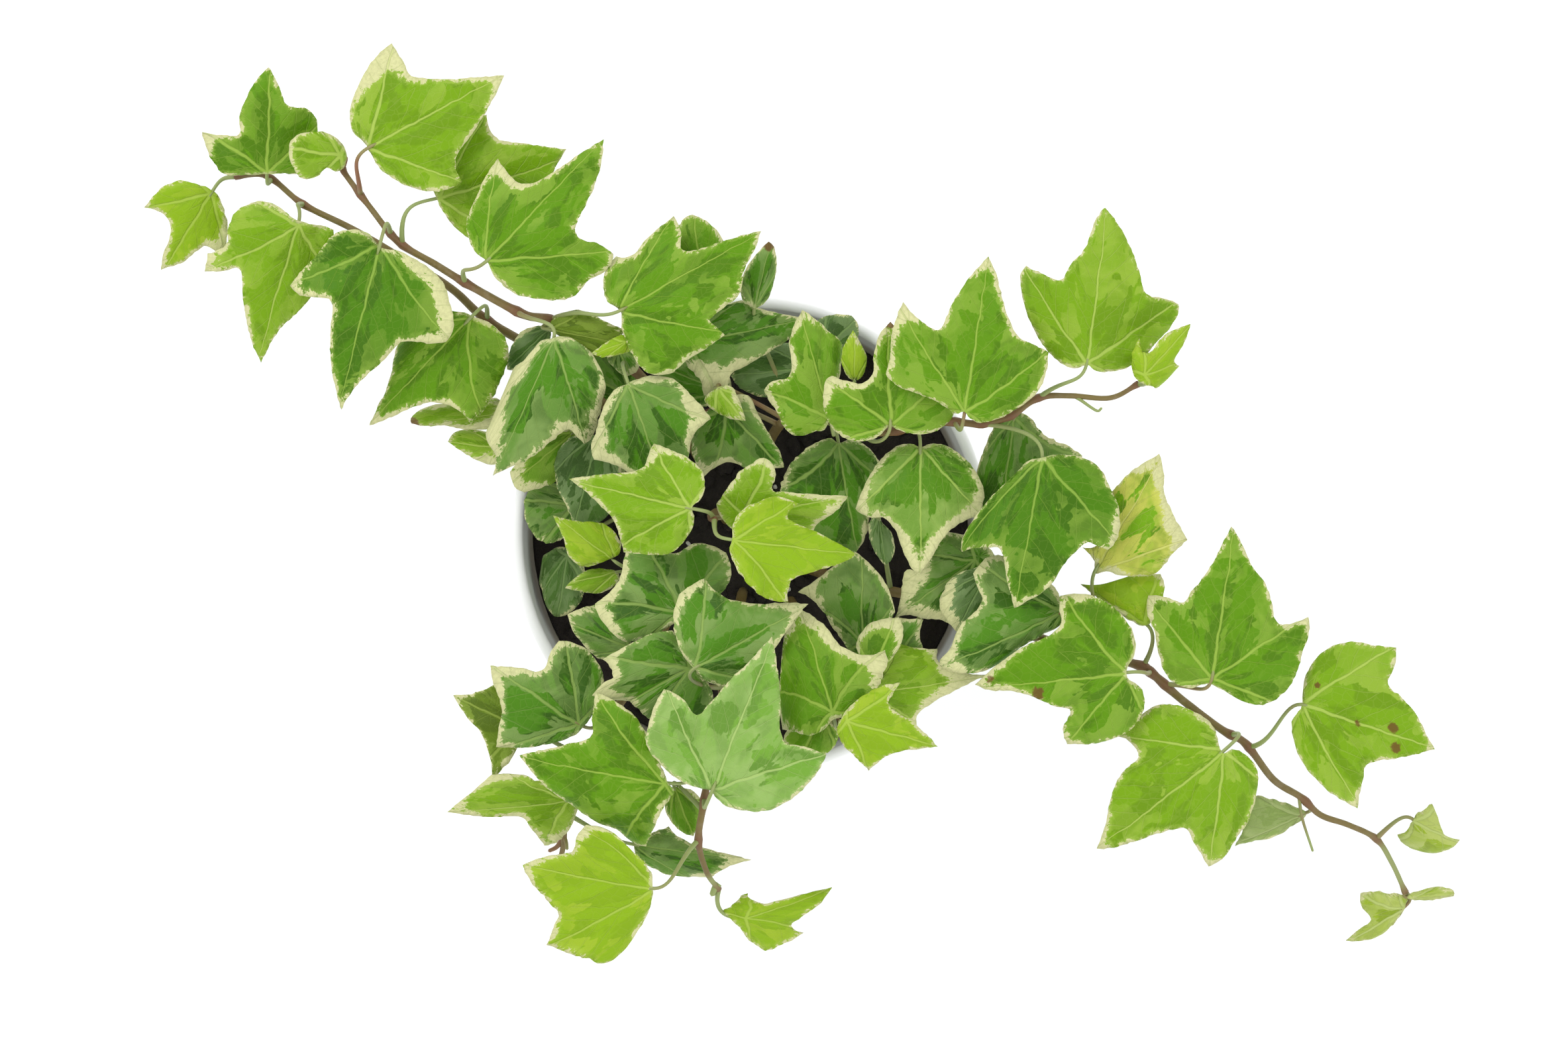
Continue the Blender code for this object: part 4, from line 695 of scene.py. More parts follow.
def fine_veins(n, shifted, nearest, along):
    """Side veins that branch from the main ones, and a faint net between them."""
    start = n.math("SUBTRACT", along, n.math("MULTIPLY", nearest, SIDE_VEIN_SLANT))
    share = n.math("FRACT", n.math("DIVIDE", start, SIDE_VEIN_GAP))
    beside = n.math("ABSOLUTE", n.math("SUBTRACT", share, 0.5))
    second = n.math("SUBTRACT", 1.0, n.step(beside, 0.010, 0.050))
    cells = n.node("ShaderNodeTexVoronoi", "Distance", {"feature": "DISTANCE_TO_EDGE"},
                   Vector=shifted, Scale=0.50, Randomness=0.9)
    net = n.math("SUBTRACT", 1.0, n.step(cells, 0.015, 0.09))
    return n.math("MAXIMUM", n.math("MULTIPLY", second, 0.50), n.math("MULTIPLY", net, 0.16))


def fan_place(n, place, x, y):
    """Coordinates that run round and out from the stalk, so that noise on them gives streaks."""
    seed = n.node("ShaderNodeSeparateXYZ", "Z", Vector=place)
    out = n.math("SQRT", n.math("ADD", n.math("MULTIPLY", x, x), n.math("MULTIPLY", y, y)))
    turn = n.math("ARCTAN2", n.math("ADD", y, 1.5), x)
    return n.node("ShaderNodeCombineXYZ", X=n.math("MULTIPLY", turn, 3.6), Y=n.math("MULTIPLY", out, 0.085),
                  Z=seed)


def variegated(n, place, fan, margin, green, patch, patched, depth):
    """Pale patches, crisp at their edges and more of them near the margin, over dark and middle greens."""
    streaks = n.noise(fan, 0.9, 3.0, 0.50, 0.4)
    blotch = n.noise(place, 0.095, 4.0, 0.55, 0.5)
    mixed = n.math("MULTIPLY_ADD", blotch, 0.45, n.math("MULTIPLY", streaks, 0.55))
    mixed = n.math("MULTIPLY_ADD", n.step(margin, -8.0, 0.0), 0.07, mixed)
    level = 0.63 - 0.2 * patched
    patches = n.step(mixed, level, level + 0.012)
    faint = n.step(n.noise(place, 0.070, 3.0, 0.6, 0.5), 0.45, 0.60)
    dark = n.step(n.noise(fan, 0.7, 3.0, 0.55, 0.5), 0.49, 0.55)
    shade = n.mix(dark, times(green, 2 - depth), times(green, depth))
    share = n.math("MULTIPLY", patches, n.math("MULTIPLY_ADD", faint, 0.50, 0.40))
    return n.mix(share, shade, patch)


def cream_margin(n, place, fan, margin):
    """The cream margin with teeth and tears along its inner edge, the band inside it, and the tears."""
    tear = n.math("SUBTRACT", n.noise(place, 0.42, 7.0, 0.74, 0.8), 0.5)
    fingers = n.math("SUBTRACT", n.noise(fan, 5.0, 5.0, 0.72, 0.3), 0.5)
    swing = n.math("SUBTRACT", n.noise(place, 0.13, 1.0), 0.5)
    broad = n.step(margin, -2.0, 2.0)
    reach = n.math("SUBTRACT", margin, 0.30)
    for rough, more, least in ((tear, 3.2, 3.0), (fingers, 6.0, 1.0), (swing, 2.0, 2.4)):
        reach = n.math("ADD", reach, n.math("MULTIPLY", rough, n.math("MULTIPLY_ADD", broad, more, least)))
    return n.step(reach, -0.05, 0.08), n.step(reach, -1.3, -0.1), tear


def blade_material(name, green, patch, vein, patched, depth, sheen):
    n = Nodes(name)
    place = n.attribute("blade", "Vector")  # across and along the blade in millimetres, and a seed
    margin = n.attribute("cream")  # how far inside the cream margin, in millimetres
    wander = n.node("ShaderNodeTexNoise", "Color", Vector=place, Scale=0.16, Detail=2.0)
    shifted = n.node("ShaderNodeVectorMath", 0, {"operation": "MULTIPLY_ADD"})
    for socket, value in zip(shifted.node.inputs, (wander, (WANDER, WANDER, 0), place)):
        n.feed(socket, value)
    x, y = (n.math("SUBTRACT", n.node("ShaderNodeSeparateXYZ", axis, Vector=shifted), WANDER / 2)
            for axis in "XY")
    main, nearest, along = main_veins(n, x, y)
    fine = fine_veins(n, shifted, nearest, along)
    veins = n.math("MAXIMUM", main, fine)
    fan = fan_place(n, place, x, y)
    colour = variegated(n, place, fan, margin, green, patch, patched, depth)
    shown = n.math("MAXIMUM", n.math("MULTIPLY", main, 0.80), n.math("MULTIPLY", fine, 0.60))
    colour = n.mix(shown, colour, vein)
    cream, band, tear = cream_margin(n, place, fan, margin)
    between = tuple(0.5 * (a + b) for a, b in zip(patch, vein))
    colour = n.mix(n.math("MULTIPLY", band, 0.60), colour, between)
    speckle = n.step(n.noise(place, 1.3, 3.0, 0.6), 0.35, 0.7)
    pale = n.mix(speckle, CREAM, times(CREAM, 0.86))
    pale = n.mix(n.math("MULTIPLY", veins, 0.30), pale, vein)
    colour = n.mix(cream, colour, pale)
    burnt = n.step(n.math("MULTIPLY_ADD", tear, 1.2, n.attribute("scorch")), 0.35, 0.60)
    colour = n.mix(n.math("MULTIPLY", burnt, 0.85), colour, SCORCH)
    rough = n.math("MULTIPLY_ADD", n.noise(place, 0.5, 3.0), 0.22, 0.36)
    n.shader.inputs["Specular IOR Level"].default_value = sheen
    height = n.math("MULTIPLY_ADD", veins, -1.0, n.math("MULTIPLY", n.noise(place, 2.2, 3.0, 0.6), 0.35))
    return n.finish(colour, rough, height, 0.00040, 0.6)


def stalk_material():
    n = Nodes("young_stalk")
    place = n.own_place()
    streak = n.noise(place, 260.0, 4.0, 0.6)
    broad = n.noise(place, 40.0, 2.0)
    colour = n.mix(streak, (0.19, 0.25, 0.06), (0.27, 0.31, 0.11))
    colour = n.mix(n.step(broad, 0.5, 0.72), colour, (0.21, 0.09, 0.04))
    return n.finish(colour, n.math("MULTIPLY_ADD", streak, 0.3, 0.35), streak, 0.0002, 0.5)


def stem_material():
    n = Nodes("woody_stem")
    place = n.own_place()
    streak = n.noise(place, 330.0, 5.0, 0.65)
    broad = n.noise(place, 55.0, 3.0)
    colour = n.mix(broad, (0.190, 0.145, 0.030), (0.105, 0.060, 0.016))
    colour = n.mix(n.step(streak, 0.45, 0.75), colour, (0.20, 0.15, 0.07))
    colour = n.mix(n.attribute("young"), colour, (0.24, 0.27, 0.09))
    colour = n.mix(n.math("MULTIPLY", n.attribute("joint"), 0.8), colour, (0.15, 0.055, 0.022))
    return n.finish(colour, n.math("MULTIPLY_ADD", streak, 0.3, 0.45), streak, 0.0004, 0.7)


def pot_material():
    n = Nodes("white_plastic")
    place = n.own_place()
    fine = n.noise(place, 900.0, 3.0, 0.6)
    broad = n.noise(place, 22.0, 3.0)
    colour = n.mix(broad, (0.80, 0.80, 0.785), (0.74, 0.74, 0.72))
    # Darker and browner down the inside wall: mostly painted shade in the pot's recess, with some soil stain.
    painted_shade_and_stain = n.step(n.math("MULTIPLY_ADD", broad, 0.35, n.attribute("inner")), 0.55, 1.15)
    colour = n.mix(n.math("MULTIPLY", painted_shade_and_stain, 0.75), colour, (0.27, 0.22, 0.15))
    n.shader.inputs["Specular IOR Level"].default_value = 0.5
    return n.finish(colour, n.math("MULTIPLY_ADD", fine, 0.2, 0.28), fine, 0.00012, 0.4)


def soil_material():
    n = Nodes("potting_mix")
    place = n.own_place()
    lumps = n.noise(place, 150.0, 6.0, 0.7)
    fibres = n.noise(place, 620.0, 5.0, 0.7, 1.5)
    colour = n.mix(lumps, (0.006, 0.004, 0.003), (0.030, 0.020, 0.013))
    colour = n.mix(n.step(fibres, 0.60, 0.74), colour, (0.075, 0.050, 0.032))
    rough = n.math("MULTIPLY_ADD", fibres, 0.2, 0.78)
    return n.finish(colour, rough, n.math("ADD", lumps, fibres), 0.0016, 0.9)


def perlite_material():
    n = Nodes("perlite")
    pits = n.noise(n.own_place(), 900.0, 4.0, 0.7)
    colour = n.mix(pits, (0.42, 0.38, 0.30), (0.75, 0.73, 0.66))
    return n.finish(colour, n.math("MULTIPLY_ADD", pits, 0.2, 0.7), pits, 0.0008, 0.9)


def floor_material():
    n = Nodes("studio_floor")
    grain = n.noise(n.own_place(), 30.0, 2.0)
    n.feed(n.shader.inputs["Base Color"], n.mix(grain, (0.97, 0.97, 0.97), (0.95, 0.95, 0.95)))
    n.shader.inputs["Roughness"].default_value = 0.8
    return n.material


# ---------------------------------------------------------------- shapes


def add_mesh(name, points, faces, materials, indices=None):
    """A smooth-shaded mesh object from points in millimetres."""
    mesh = bpy.data.meshes.new(name)
    mesh.from_pydata((np.asarray(points) * MM).tolist(), [], faces)
    for material in materials:
        mesh.materials.append(material)
    if indices is not None:
        mesh.polygons.foreach_set("material_index", np.asarray(indices, np.int32))
    mesh.shade_smooth()
    obj = bpy.data.objects.new(name, mesh)
    bpy.context.scene.collection.objects.link(obj)
    return obj


def point_values(obj, name, values):
    """Stores a value for each point: a float, or a vector of three."""
    values = np.asarray(values, np.float32)
    kind, key = ("FLOAT", "value") if values.ndim == 1 else ("FLOAT_VECTOR", "vector")
    made = obj.data.attributes.new(name, kind, "POINT")
    made.data.foreach_set(key, values.ravel())


def curve_through(points, steps):
    """Points along a smooth curve (Catmull-Rom) that passes through all the given ones."""
    route = [2 * points[0] - points[1], *points, 2 * points[-1] - points[-2]]
    made = []
    for a, b, c, d in zip(route, route[1:], route[2:], route[3:]):
        for k in range(steps):
            t = k / steps
            made.append(0.5 * (2 * b + (c - a) * t + (2 * a - 5 * b + 4 * c - d) * t * t
                               + (3 * b - a - 3 * c + d) * t**3))
    made.append(points[-1])
    return made


def tube(route, radii, sides, start=0):
    """Points and faces of a tube with a domed end, round a route. start: the number of its first point."""
    points, faces = [], []
    ahead = unit(route[1] - route[0])
    across = unit(np.cross(ahead, (0.3, 0.5, 0.8)))
    for k, centre in enumerate(route):
        onward = unit(route[min(k + 1, len(route) - 1)] - route[max(k - 1, 0)])
        across = unit(across - across.dot(onward) * onward)
        side = np.cross(onward, across)
        for j in range(sides):
            turn = 2 * math.pi * j / sides
            points.append(centre + radii[k] * (math.cos(turn) * across + math.sin(turn) * side))
    for k in range(len(route) - 1):
        for j in range(sides):
            a, b = start + k * sides + j, start + k * sides + (j + 1) % sides
            faces.append((a, b, b + sides, a + sides))
    faces.append(tuple(start + j for j in reversed(range(sides))))
    last = start + (len(route) - 1) * sides
    points.append(route[-1] + unit(route[-1] - route[-2]) * radii[-1] * 0.8)
    for j in range(sides):
        faces.append((last + j, last + (j + 1) % sides, start + len(points) - 1))
    return points, faces


def inner_radius(height):
    base, top = BASE_RADIUS - POT_WALL, RIM_RADIUS - LIP_WIDTH
    return base + (top - base) * (height - POT_FLOOR) / (POT_HEIGHT - POT_FLOOR)


def soil_height(distance):
    edge = inner_radius(POT_HEIGHT - SOIL_DROP)
    return POT_HEIGHT - SOIL_DROP + SOIL_MOUND * (1 - (distance / edge) ** 2)


def stem_route(name, steps=8):
    (x, y), *rest = STEMS[name]
    foot = np.array((x, y, soil_height(math.hypot(x, y)) - 1.0))
    return curve_through([foot, *map(above_rim, rest)], steps)


ROUTES = {name: stem_route(name) for name in STEMS}


def stem_radius(share):
    return STEM_BASE_RADIUS + (STEM_TIP_RADIUS - STEM_BASE_RADIUS) * share


def nearest_on_stem(names, place):
    """The place and radius of the nearest point on several stems."""
    found = [(np.linalg.norm(p - place), name, k) for name in names for k, p in enumerate(ROUTES[name])]
    _, name, near = min(found)
    route = ROUTES[name]
    return route[near], stem_radius(near / (len(route) - 1))


def make_stem(name, material, joints):
    """A stem's bark, swollen and redder at its joints, and pale green towards a young end."""
    route = ROUTES[name]
    radii, joint = [], []
    young = np.clip((np.linspace(0, 1, len(route)) - YOUNG_FROM.get(name, 2.0)) / 0.05, 0, 1)
    for k, centre in enumerate(route):
        near = min([np.linalg.norm(centre - j) for j in joints] or [99])
        swell = math.exp(-((near / 1.6) ** 2))
        wobble = 0.06 * noise.noise(Vector(centre) * 0.35)
        radii.append(stem_radius(k / (len(route) - 1)) * (1 + wobble) + 0.32 * swell)
        joint.append(math.exp(-((near / 2.6) ** 2)))
    points, faces = tube(route, radii, STEM_SIDES)
    obj = add_mesh(name + "_bark", points, faces, [material])
    for key, values in (("joint", joint), ("young", young)):
        point_values(obj, key, np.append(np.repeat(values, STEM_SIDES), values[-1]))
    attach(obj, "root")
    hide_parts(name)


def make_sprig(name, material):
    radius, *points = SPRIGS[name]
    route = curve_through([above_rim(p) for p in points], 6)
    places, faces = tube(route, np.linspace(radius, 0.7 * radius, len(route)), 10)
    obj = add_mesh(name, places, faces, [material])
    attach(obj, "root")


# ---------------------------------------------------------------- leaves


class Blade:
    """A leaf's blade: a smooth surface over (across, along) shares of its length."""

    def __init__(self, leaf):
        self.base, self.tip = above_rim(leaf.base), above_rim(leaf.tip)
        left, right = above_rim(leaf.left), above_rim(leaf.right)
        u0, v0 = SIDE_LOBE
        self.ahead = self.tip - self.base
        self.across = (right - left) / (2 * u0)
        self.bend = ((left + right) / 2 - self.base - v0 * self.ahead) / u0**2
        self.up = unit(np.cross(self.across, self.ahead))
        self.length = np.linalg.norm(self.ahead)
        self.spread = np.array((np.linalg.norm(self.across), self.length))

    def place(self, uv):
        u, v = uv[:, :1], uv[:, 1:]
        crown = 1 - (u / SIDE_LOBE[0]) ** 2 - ((v - 0.4) / 0.6) ** 2
        dome = LEAF_DOME * self.length * np.maximum(crown, -2.5)
        return self.base + u * self.across + v * self.ahead + u * u * self.bend + dome * self.up

    def share_of(self, spot):
        """The place on the blade that is seen at a plan spot from above."""
        uv = np.array([0.0, 0.4])
        step = 1e-3
        for _ in range(30):
            at = self.place(uv[None])[0]
            du = (self.place(uv[None] + (step, 0))[0] - at)[:2] / step
            dv = (self.place(uv[None] + (0, step))[0] - at)[:2] / step
            move = np.linalg.solve(np.array([du, dv]).T, spot - at[:2])
            uv = uv + move * min(1.0, 0.2 / max(np.linalg.norm(move), 1e-9))
        return uv


def outline_of(leaf, blade):
    """The blade's outline as (share of the blade, sharp or not), running anticlockwise."""
    controls = [(blade.share_of(np.array(point[:2], float)), len(point) == 3) for point in leaf.rim]
    around = np.array([uv for uv, _ in controls])
    onward = np.roll(around, -1, axis=0)
    area = np.sum(around[:, 0] * onward[:, 1] - around[:, 1] * onward[:, 0])
    return controls if area > 0 else controls[::-1]


def smooth_outline(controls, blade):
    """A closed curve through the control points, with corners at the sharp ones."""
    count = len(controls)
    points = []
    for k in range(count):
        p0, _ = controls[k - 1]
        p1, sharp1 = controls[k]
        p2, sharp2 = controls[(k + 1) % count]
        p3, _ = controls[(k + 2) % count]
        chord = p2 - p1
        size = np.linalg.norm(chord)
        m1 = chord if sharp1 else unit(p2 - p0) * size
        m2 = chord if sharp2 else unit(p3 - p1) * size
        if sharp1 and not sharp2:
            m1 = unit(2 * chord - m2) * size
        if sharp2 and not sharp1:
            m2 = unit(2 * chord - m1) * size
        ends = blade.place(np.array([p1, p2]))
        steps = max(3, round(np.linalg.norm(ends[1] - ends[0]) / EDGE_STEP))
        for j in range(steps):
            t = j / steps
            points.append((2 * t**3 - 3 * t**2 + 1) * p1 + (t**3 - 2 * t**2 + t) * m1
                          + (-2 * t**3 + 3 * t**2) * p2 + (t**3 - t**2) * m2)
    return np.array(points)


def torn_edge(leaf, blade, seed):
    """The blade's outline laid flat, in millimetres, with a slightly ragged edge."""
    edge = smooth_outline(outline_of(leaf, blade), blade) * blade.spread
    normal = np.roll(edge, -1, axis=0) - np.roll(edge, 1, axis=0)
    normal = np.column_stack([normal[:, 1], -normal[:, 0]]) / np.linalg.norm(normal, axis=1)[:, None]
    ragged = [noise.noise(Vector((x, y, 9.0 * seed)) * 0.8) for x, y in edge]
    return edge + EDGE_RAGGED * np.array(ragged)[:, None] * normal


def segment_distance(p, a, b):
    """Distance of each point of p from the segment a to b."""
    along = b - a
    t = np.clip(((p - a) @ along) / (along @ along), 0, 1)
    return np.linalg.norm(p - (a + t[:, None] * along), axis=1)


def edge_distance(p, edge):
    """Distance of each point of p from a closed outline."""
    return np.min([segment_distance(p, a, b) for a, b in zip(edge, np.roll(edge, -1, axis=0))], axis=0)


def filled(edge):
    """Points and triangles that fill an outline, with the inner points on an even grid."""
    low, high = edge.min(axis=0), edge.max(axis=0)
    rows = np.arange(low[1], high[1], GRID_STEP * 0.866)
    grid = np.array([(x + 0.5 * GRID_STEP * (k % 2), y) for k, y in enumerate(rows)
                     for x in np.arange(low[0], high[0], GRID_STEP)])
    inside = np.zeros(len(grid), bool)
    for a, b in zip(edge, np.roll(edge, -1, axis=0)):
        if a[1] != b[1]:
            crosses = (grid[:, 1] < a[1]) != (grid[:, 1] < b[1])
            inside ^= crosses & (grid[:, 0] < a[0] + (grid[:, 1] - a[1]) * (b[0] - a[0]) / (b[1] - a[1]))
    grid = grid[inside]
    grid = grid[edge_distance(grid, edge) > 0.45 * GRID_STEP]
    places = [Vector(p) for p in np.vstack([edge, grid])]
    count = len(edge)
    ring = [(k, (k + 1) % count) for k in range(count)]
    made, _, triangles, *_ = geometry.delaunay_2d_cdt(places, ring, [], 1, 1e-5)
    return np.array([tuple(p) for p in made]), triangles


def relief_of(flat, from_edge, blade, seed):
    """Height over the smooth blade: hollows along the veins, pillows between them, and a wavy edge."""
    length = blade.length
    near = np.full(len(flat), 99.0)
    for u, v in ((0, 1), SIDE_LOBE, BASAL_LOBE):
        for side in {u, -u}:
            end = np.array((side, v)) * blade.spread
            near = np.minimum(near, segment_distance(flat, np.zeros(2), end))
    relief = PILLOW * length * (1 - np.exp(-((near / (0.07 * length)) ** 2)))
    turn = np.arctan2(flat[:, 1] - 0.25 * length, flat[:, 0])
    rim_share = np.exp(-from_edge / (0.10 * length))
    phase = 2.4 * seed
    relief += WAVE * length * rim_share * np.sin(5 * turn + phase)
    relief += RIPPLE * length * rim_share**2 * np.sin(11 * turn + 1.7 * phase)
    relief -= RIPPLE * length * rim_share**2
    return relief


def cream_depth(leaf, plan, from_edge):
    """How far each point lies inside the cream margin, in millimetres."""
    wide = np.full(len(plan), float(leaf.margin))
    for x, y, extra in leaf.cream:
        apart = np.linalg.norm(plan - (x, y), axis=1)
        wide += extra * np.exp(-((apart / (3.5 + 0.9 * extra)) ** 2))
    return wide - from_edge


def scorch_of(leaf, plan):
    scorch = np.zeros(len(plan))
    for x, y, size in SPOTS.get(leaf.name, ()):
        scorch = np.maximum(scorch, np.exp(-((np.linalg.norm(plan - (x, y), axis=1) / size) ** 2)))
    return scorch


def sheet_faces(triangles, total):
    """The faces of a thin sheet: its top, its under side, and a wall along every free edge."""
    faces = [tuple(face) for face in triangles]
    faces += [tuple(total + i for i in reversed(face)) for face in triangles]
    sides = {(face[k], face[(k + 1) % 3]) for face in triangles for k in range(3)}
    return faces + [(b, a, total + a, total + b) for a, b in sorted(sides) if (b, a) not in sides]


def stalk_of(leaf, blade, start_index):
    """The stalk: from under the blade's base, out by the notch, and round to the side of its stem."""
    ahead = unit(blade.ahead)
    start = blade.place(np.array([[0.0, 0.03]]))[0] - 0.35 * blade.up
    if leaf.stem:
        node, radius = nearest_on_stem([leaf.stem], above_rim(leaf.node))
    else:
        node, radius = nearest_on_stem(STEMS, blade.base - (0, 0, 6.0))
    leave = start - NOTCH_REACH * blade.length * ahead - STALK_DIP * blade.up
    bend = above_rim(leaf.via) if leaf.via else leave - 0.3 * np.linalg.norm(node - start) * blade.up
    end = node + unit(bend - node) * radius * 0.4
    shares = np.linspace(0, 1, STALK_STEPS)
    route = [start + 1.5 * ahead]
    route += [(1 - t) ** 3 * start + 3 * t * (1 - t) ** 2 * leave + 3 * t * t * (1 - t) * bend + t**3 * end
              for t in shares]
    thick = [0.26] + [0.46 + 0.26 * t**3 for t in shares]
    return *tube(route, thick, STALK_SIDES, start_index), node


def make_leaf(leaf, seed, finish, stalk_finish):
    """A blade and its stalk as one piece. Returns it with the place where the stalk meets its stem."""
    blade = Blade(leaf)
    edge = torn_edge(leaf, blade, seed)
    flat, triangles = filled(edge)
    uv = flat / blade.spread
    total = len(uv)
    from_edge = edge_distance(flat, edge)
    smooth = blade.place(uv)
    surface = smooth + relief_of(flat, from_edge, blade, seed)[:, None] * blade.up
    half = 0.5 * THICKNESS * blade.up
    points = [*(surface + half), *(surface - half)]
    faces = sheet_faces(triangles, total)
    stalk_points, stalk_faces, node = stalk_of(leaf, blade, len(points))
    indices = [0] * len(faces) + [1] * len(stalk_faces)
    obj = add_mesh(leaf.name + "_blade", points + stalk_points, faces + stalk_faces,
                   [finish, stalk_finish], indices)
    plan = smooth[:, :2]
    place = np.column_stack([uv * blade.length, np.full(total, 37.0 * seed)])
    extra = len(stalk_points)
    for key, values, on_stalk in (("blade", place, np.zeros((extra, 3))),
                                  ("cream", cream_depth(leaf, plan, from_edge), np.full(extra, -9.0)),
                                  ("scorch", scorch_of(leaf, plan), np.zeros(extra))):
        point_values(obj, key, np.concatenate([values, values, on_stalk]))
    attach(obj, "root")
    return obj, node


# ---------------------------------------------------------------- pot and soil


def lathe(name, profile, sides, material):
    """A closed solid turned about Z from a profile of (radius, height) that starts and ends on the axis."""
    points = [(0, 0, profile[0][1])]
    points += [(*ring_point(radius, k, sides), height)
               for radius, height in profile[1:-1] for k in range(sides)]
    points.append((0, 0, profile[-1][1]))
    last, rings = len(points) - 1, len(profile) - 2
    faces = []
    for k in range(sides):
        j = (k + 1) % sides
        faces.append((0, 1 + j, 1 + k))
        for ring in range(rings - 1):
            a, b = 1 + ring * sides, 1 + (ring + 1) * sides
            faces.append((a + k, a + j, b + j, b + k))
        a = 1 + (rings - 1) * sides
        faces.append((a + k, a + j, last))
    return add_mesh(name, points, faces, [material])


def pot_profile():
    """The pot's outline from under its middle, up the outside, over the rolled lip and down the inside."""
    lip_bottom = POT_HEIGHT - LIP_HEIGHT
    wall_top = RIM_RADIUS - LIP_STEP
    roll = LIP_WIDTH / 2
    top = POT_HEIGHT - roll
    foot = BASE_RADIUS - FOOT_WIDTH
    inside = inner_radius(POT_FLOOR)

    def wall(z):
        return BASE_RADIUS + (wall_top - BASE_RADIUS) * z / POT_HEIGHT

    profile = [(0, FOOT_LIFT), (foot, FOOT_LIFT), (foot + 0.8, 0.2), (foot + 1.2, 0.0)]
    profile += [(BASE_RADIUS - 1.2, 0.0), (BASE_RADIUS - 0.3, 0.3), (BASE_RADIUS, 1.2)]
    profile += [(wall(z), z) for z in np.linspace(4, lip_bottom - 0.8, 24)]
    profile += [(wall(lip_bottom), lip_bottom - 0.3), (wall(lip_bottom) + 0.5, lip_bottom)]
    profile += [(RIM_RADIUS - 0.7, lip_bottom), (RIM_RADIUS - 0.15, lip_bottom + 0.3)]
    profile += [(RIM_RADIUS, z) for z in (lip_bottom + 1, *np.linspace(lip_bottom + 2, top - 0.5, 4))]
    profile += [(RIM_RADIUS - roll + roll * math.cos(a), top + roll * math.sin(a))
                for a in np.radians(np.linspace(0, 180, 13))]
    profile += [(inner_radius(z), z) for z in np.linspace(top - 1.5, POT_FLOOR + 1.5, 24)]
    return profile + [(inside - 0.6, POT_FLOOR + 0.3), (inside - 2, POT_FLOOR), (0, POT_FLOOR)]


def cut_drains(pot):
    cutters = []
    for k in range(DRAIN_HOLES):
        x, y = ring_point(DRAIN_CIRCLE * MM, k + DRAIN_TURN, DRAIN_HOLES)
        bpy.ops.mesh.primitive_cylinder_add(vertices=40, radius=DRAIN_RADIUS * MM, depth=4 * POT_FLOOR * MM,
                                            location=(x, y, POT_FLOOR / 2 * MM))
        cutters.append(bpy.context.object)
        cut = pot.modifiers.new("drain", "BOOLEAN")
        cut.operation = "DIFFERENCE"
        cut.object = cutters[-1]
    bpy.context.view_layer.objects.active = pot
    for cut in list(pot.modifiers):
        bpy.ops.object.modifier_apply(modifier=cut.name)
    for cutter in cutters:
        bpy.data.objects.remove(cutter)


def make_pot(material):
    pot = lathe("pot_shell", pot_profile(), POT_SIDES, material)
    cut_drains(pot)
    places = np.array([v.co for v in pot.data.vertices]) / MM
    radius, height = np.hypot(places[:, 0], places[:, 1]), places[:, 2]
    # How far down the inside wall each point is. The pot's material darkens by this as painted shade, with some
    # soil stain.
    depth = np.clip((POT_HEIGHT - height - 1.5) / 9, 0, 1)
    within = (radius < inner_radius(height) + 0.4) & (height > 2)
    point_values(pot, "inner", np.where(within, depth, 0.0))
    pot.data.set_sharp_from_angle(angle=math.radians(40))
    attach(pot, "root")
    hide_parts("pot")


def rough_stone(rng, centre, size, flatness):
    """Points and faces of a small lump."""
    made = bmesh.new()
    bmesh.ops.create_icosphere(made, subdivisions=1, radius=1)
    offset = Vector(rng.uniform(-50, 50, 3))
    spin = rng.uniform(0, 2 * math.pi)
    cos, sin = math.cos(spin), math.sin(spin)
    stretch = np.array((rng.uniform(0.7, 1.3), rng.uniform(0.7, 1.3), flatness))
    points = []
    for v in made.verts:
        p = np.array(v.co) * (1 + 0.45 * noise.noise(v.co * 1.3 + offset)) * stretch
        points.append(np.array((p[0] * cos - p[1] * sin, p[0] * sin + p[1] * cos, p[2])) * size + centre)
    faces = [tuple(v.index for v in f.verts) for f in made.faces]
    made.free()
    return points, faces


def make_soil_body(material):
    """The soil: a rough domed top over a plain body that fills the pot to its floor."""
    edge = inner_radius(POT_HEIGHT - SOIL_DROP) - SOIL_GAP
    bottom = POT_FLOOR + SOIL_GAP
    points = [(0, 0, soil_height(0))]
    for ring in range(1, SOIL_RINGS + 1):
        radius = edge * ring / SOIL_RINGS
        for k in range(SOIL_SIDES):
            x, y = ring_point(radius, k, SOIL_SIDES)
            lift = SOIL_ROUGH * noise.fractal(Vector((x, y, 3)) * 0.16, 0.9, 2.1, 4)
            points.append((x, y, soil_height(radius) - 0.4 + lift))
    depths = (60, 30, bottom)
    points += [(*ring_point(inner_radius(z) - SOIL_GAP, k, SOIL_SIDES), z)
               for z in depths for k in range(SOIL_SIDES)]
    points.append((0, 0, bottom))
    faces = []
    bands = SOIL_RINGS + len(depths) - 1
    for k in range(SOIL_SIDES):
        j = (k + 1) % SOIL_SIDES
        faces.append((0, 1 + k, 1 + j))
        for band in range(bands):
            a, b = 1 + band * SOIL_SIDES + k, 1 + band * SOIL_SIDES + j
            faces.append((a, a + SOIL_SIDES, b + SOIL_SIDES, b))
        a = 1 + bands * SOIL_SIDES
        faces.append((a + k, len(points) - 1, a + j))
    soil = add_mesh("soil_surface", points, faces, [material])
    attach(soil, "root")
    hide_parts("soil")


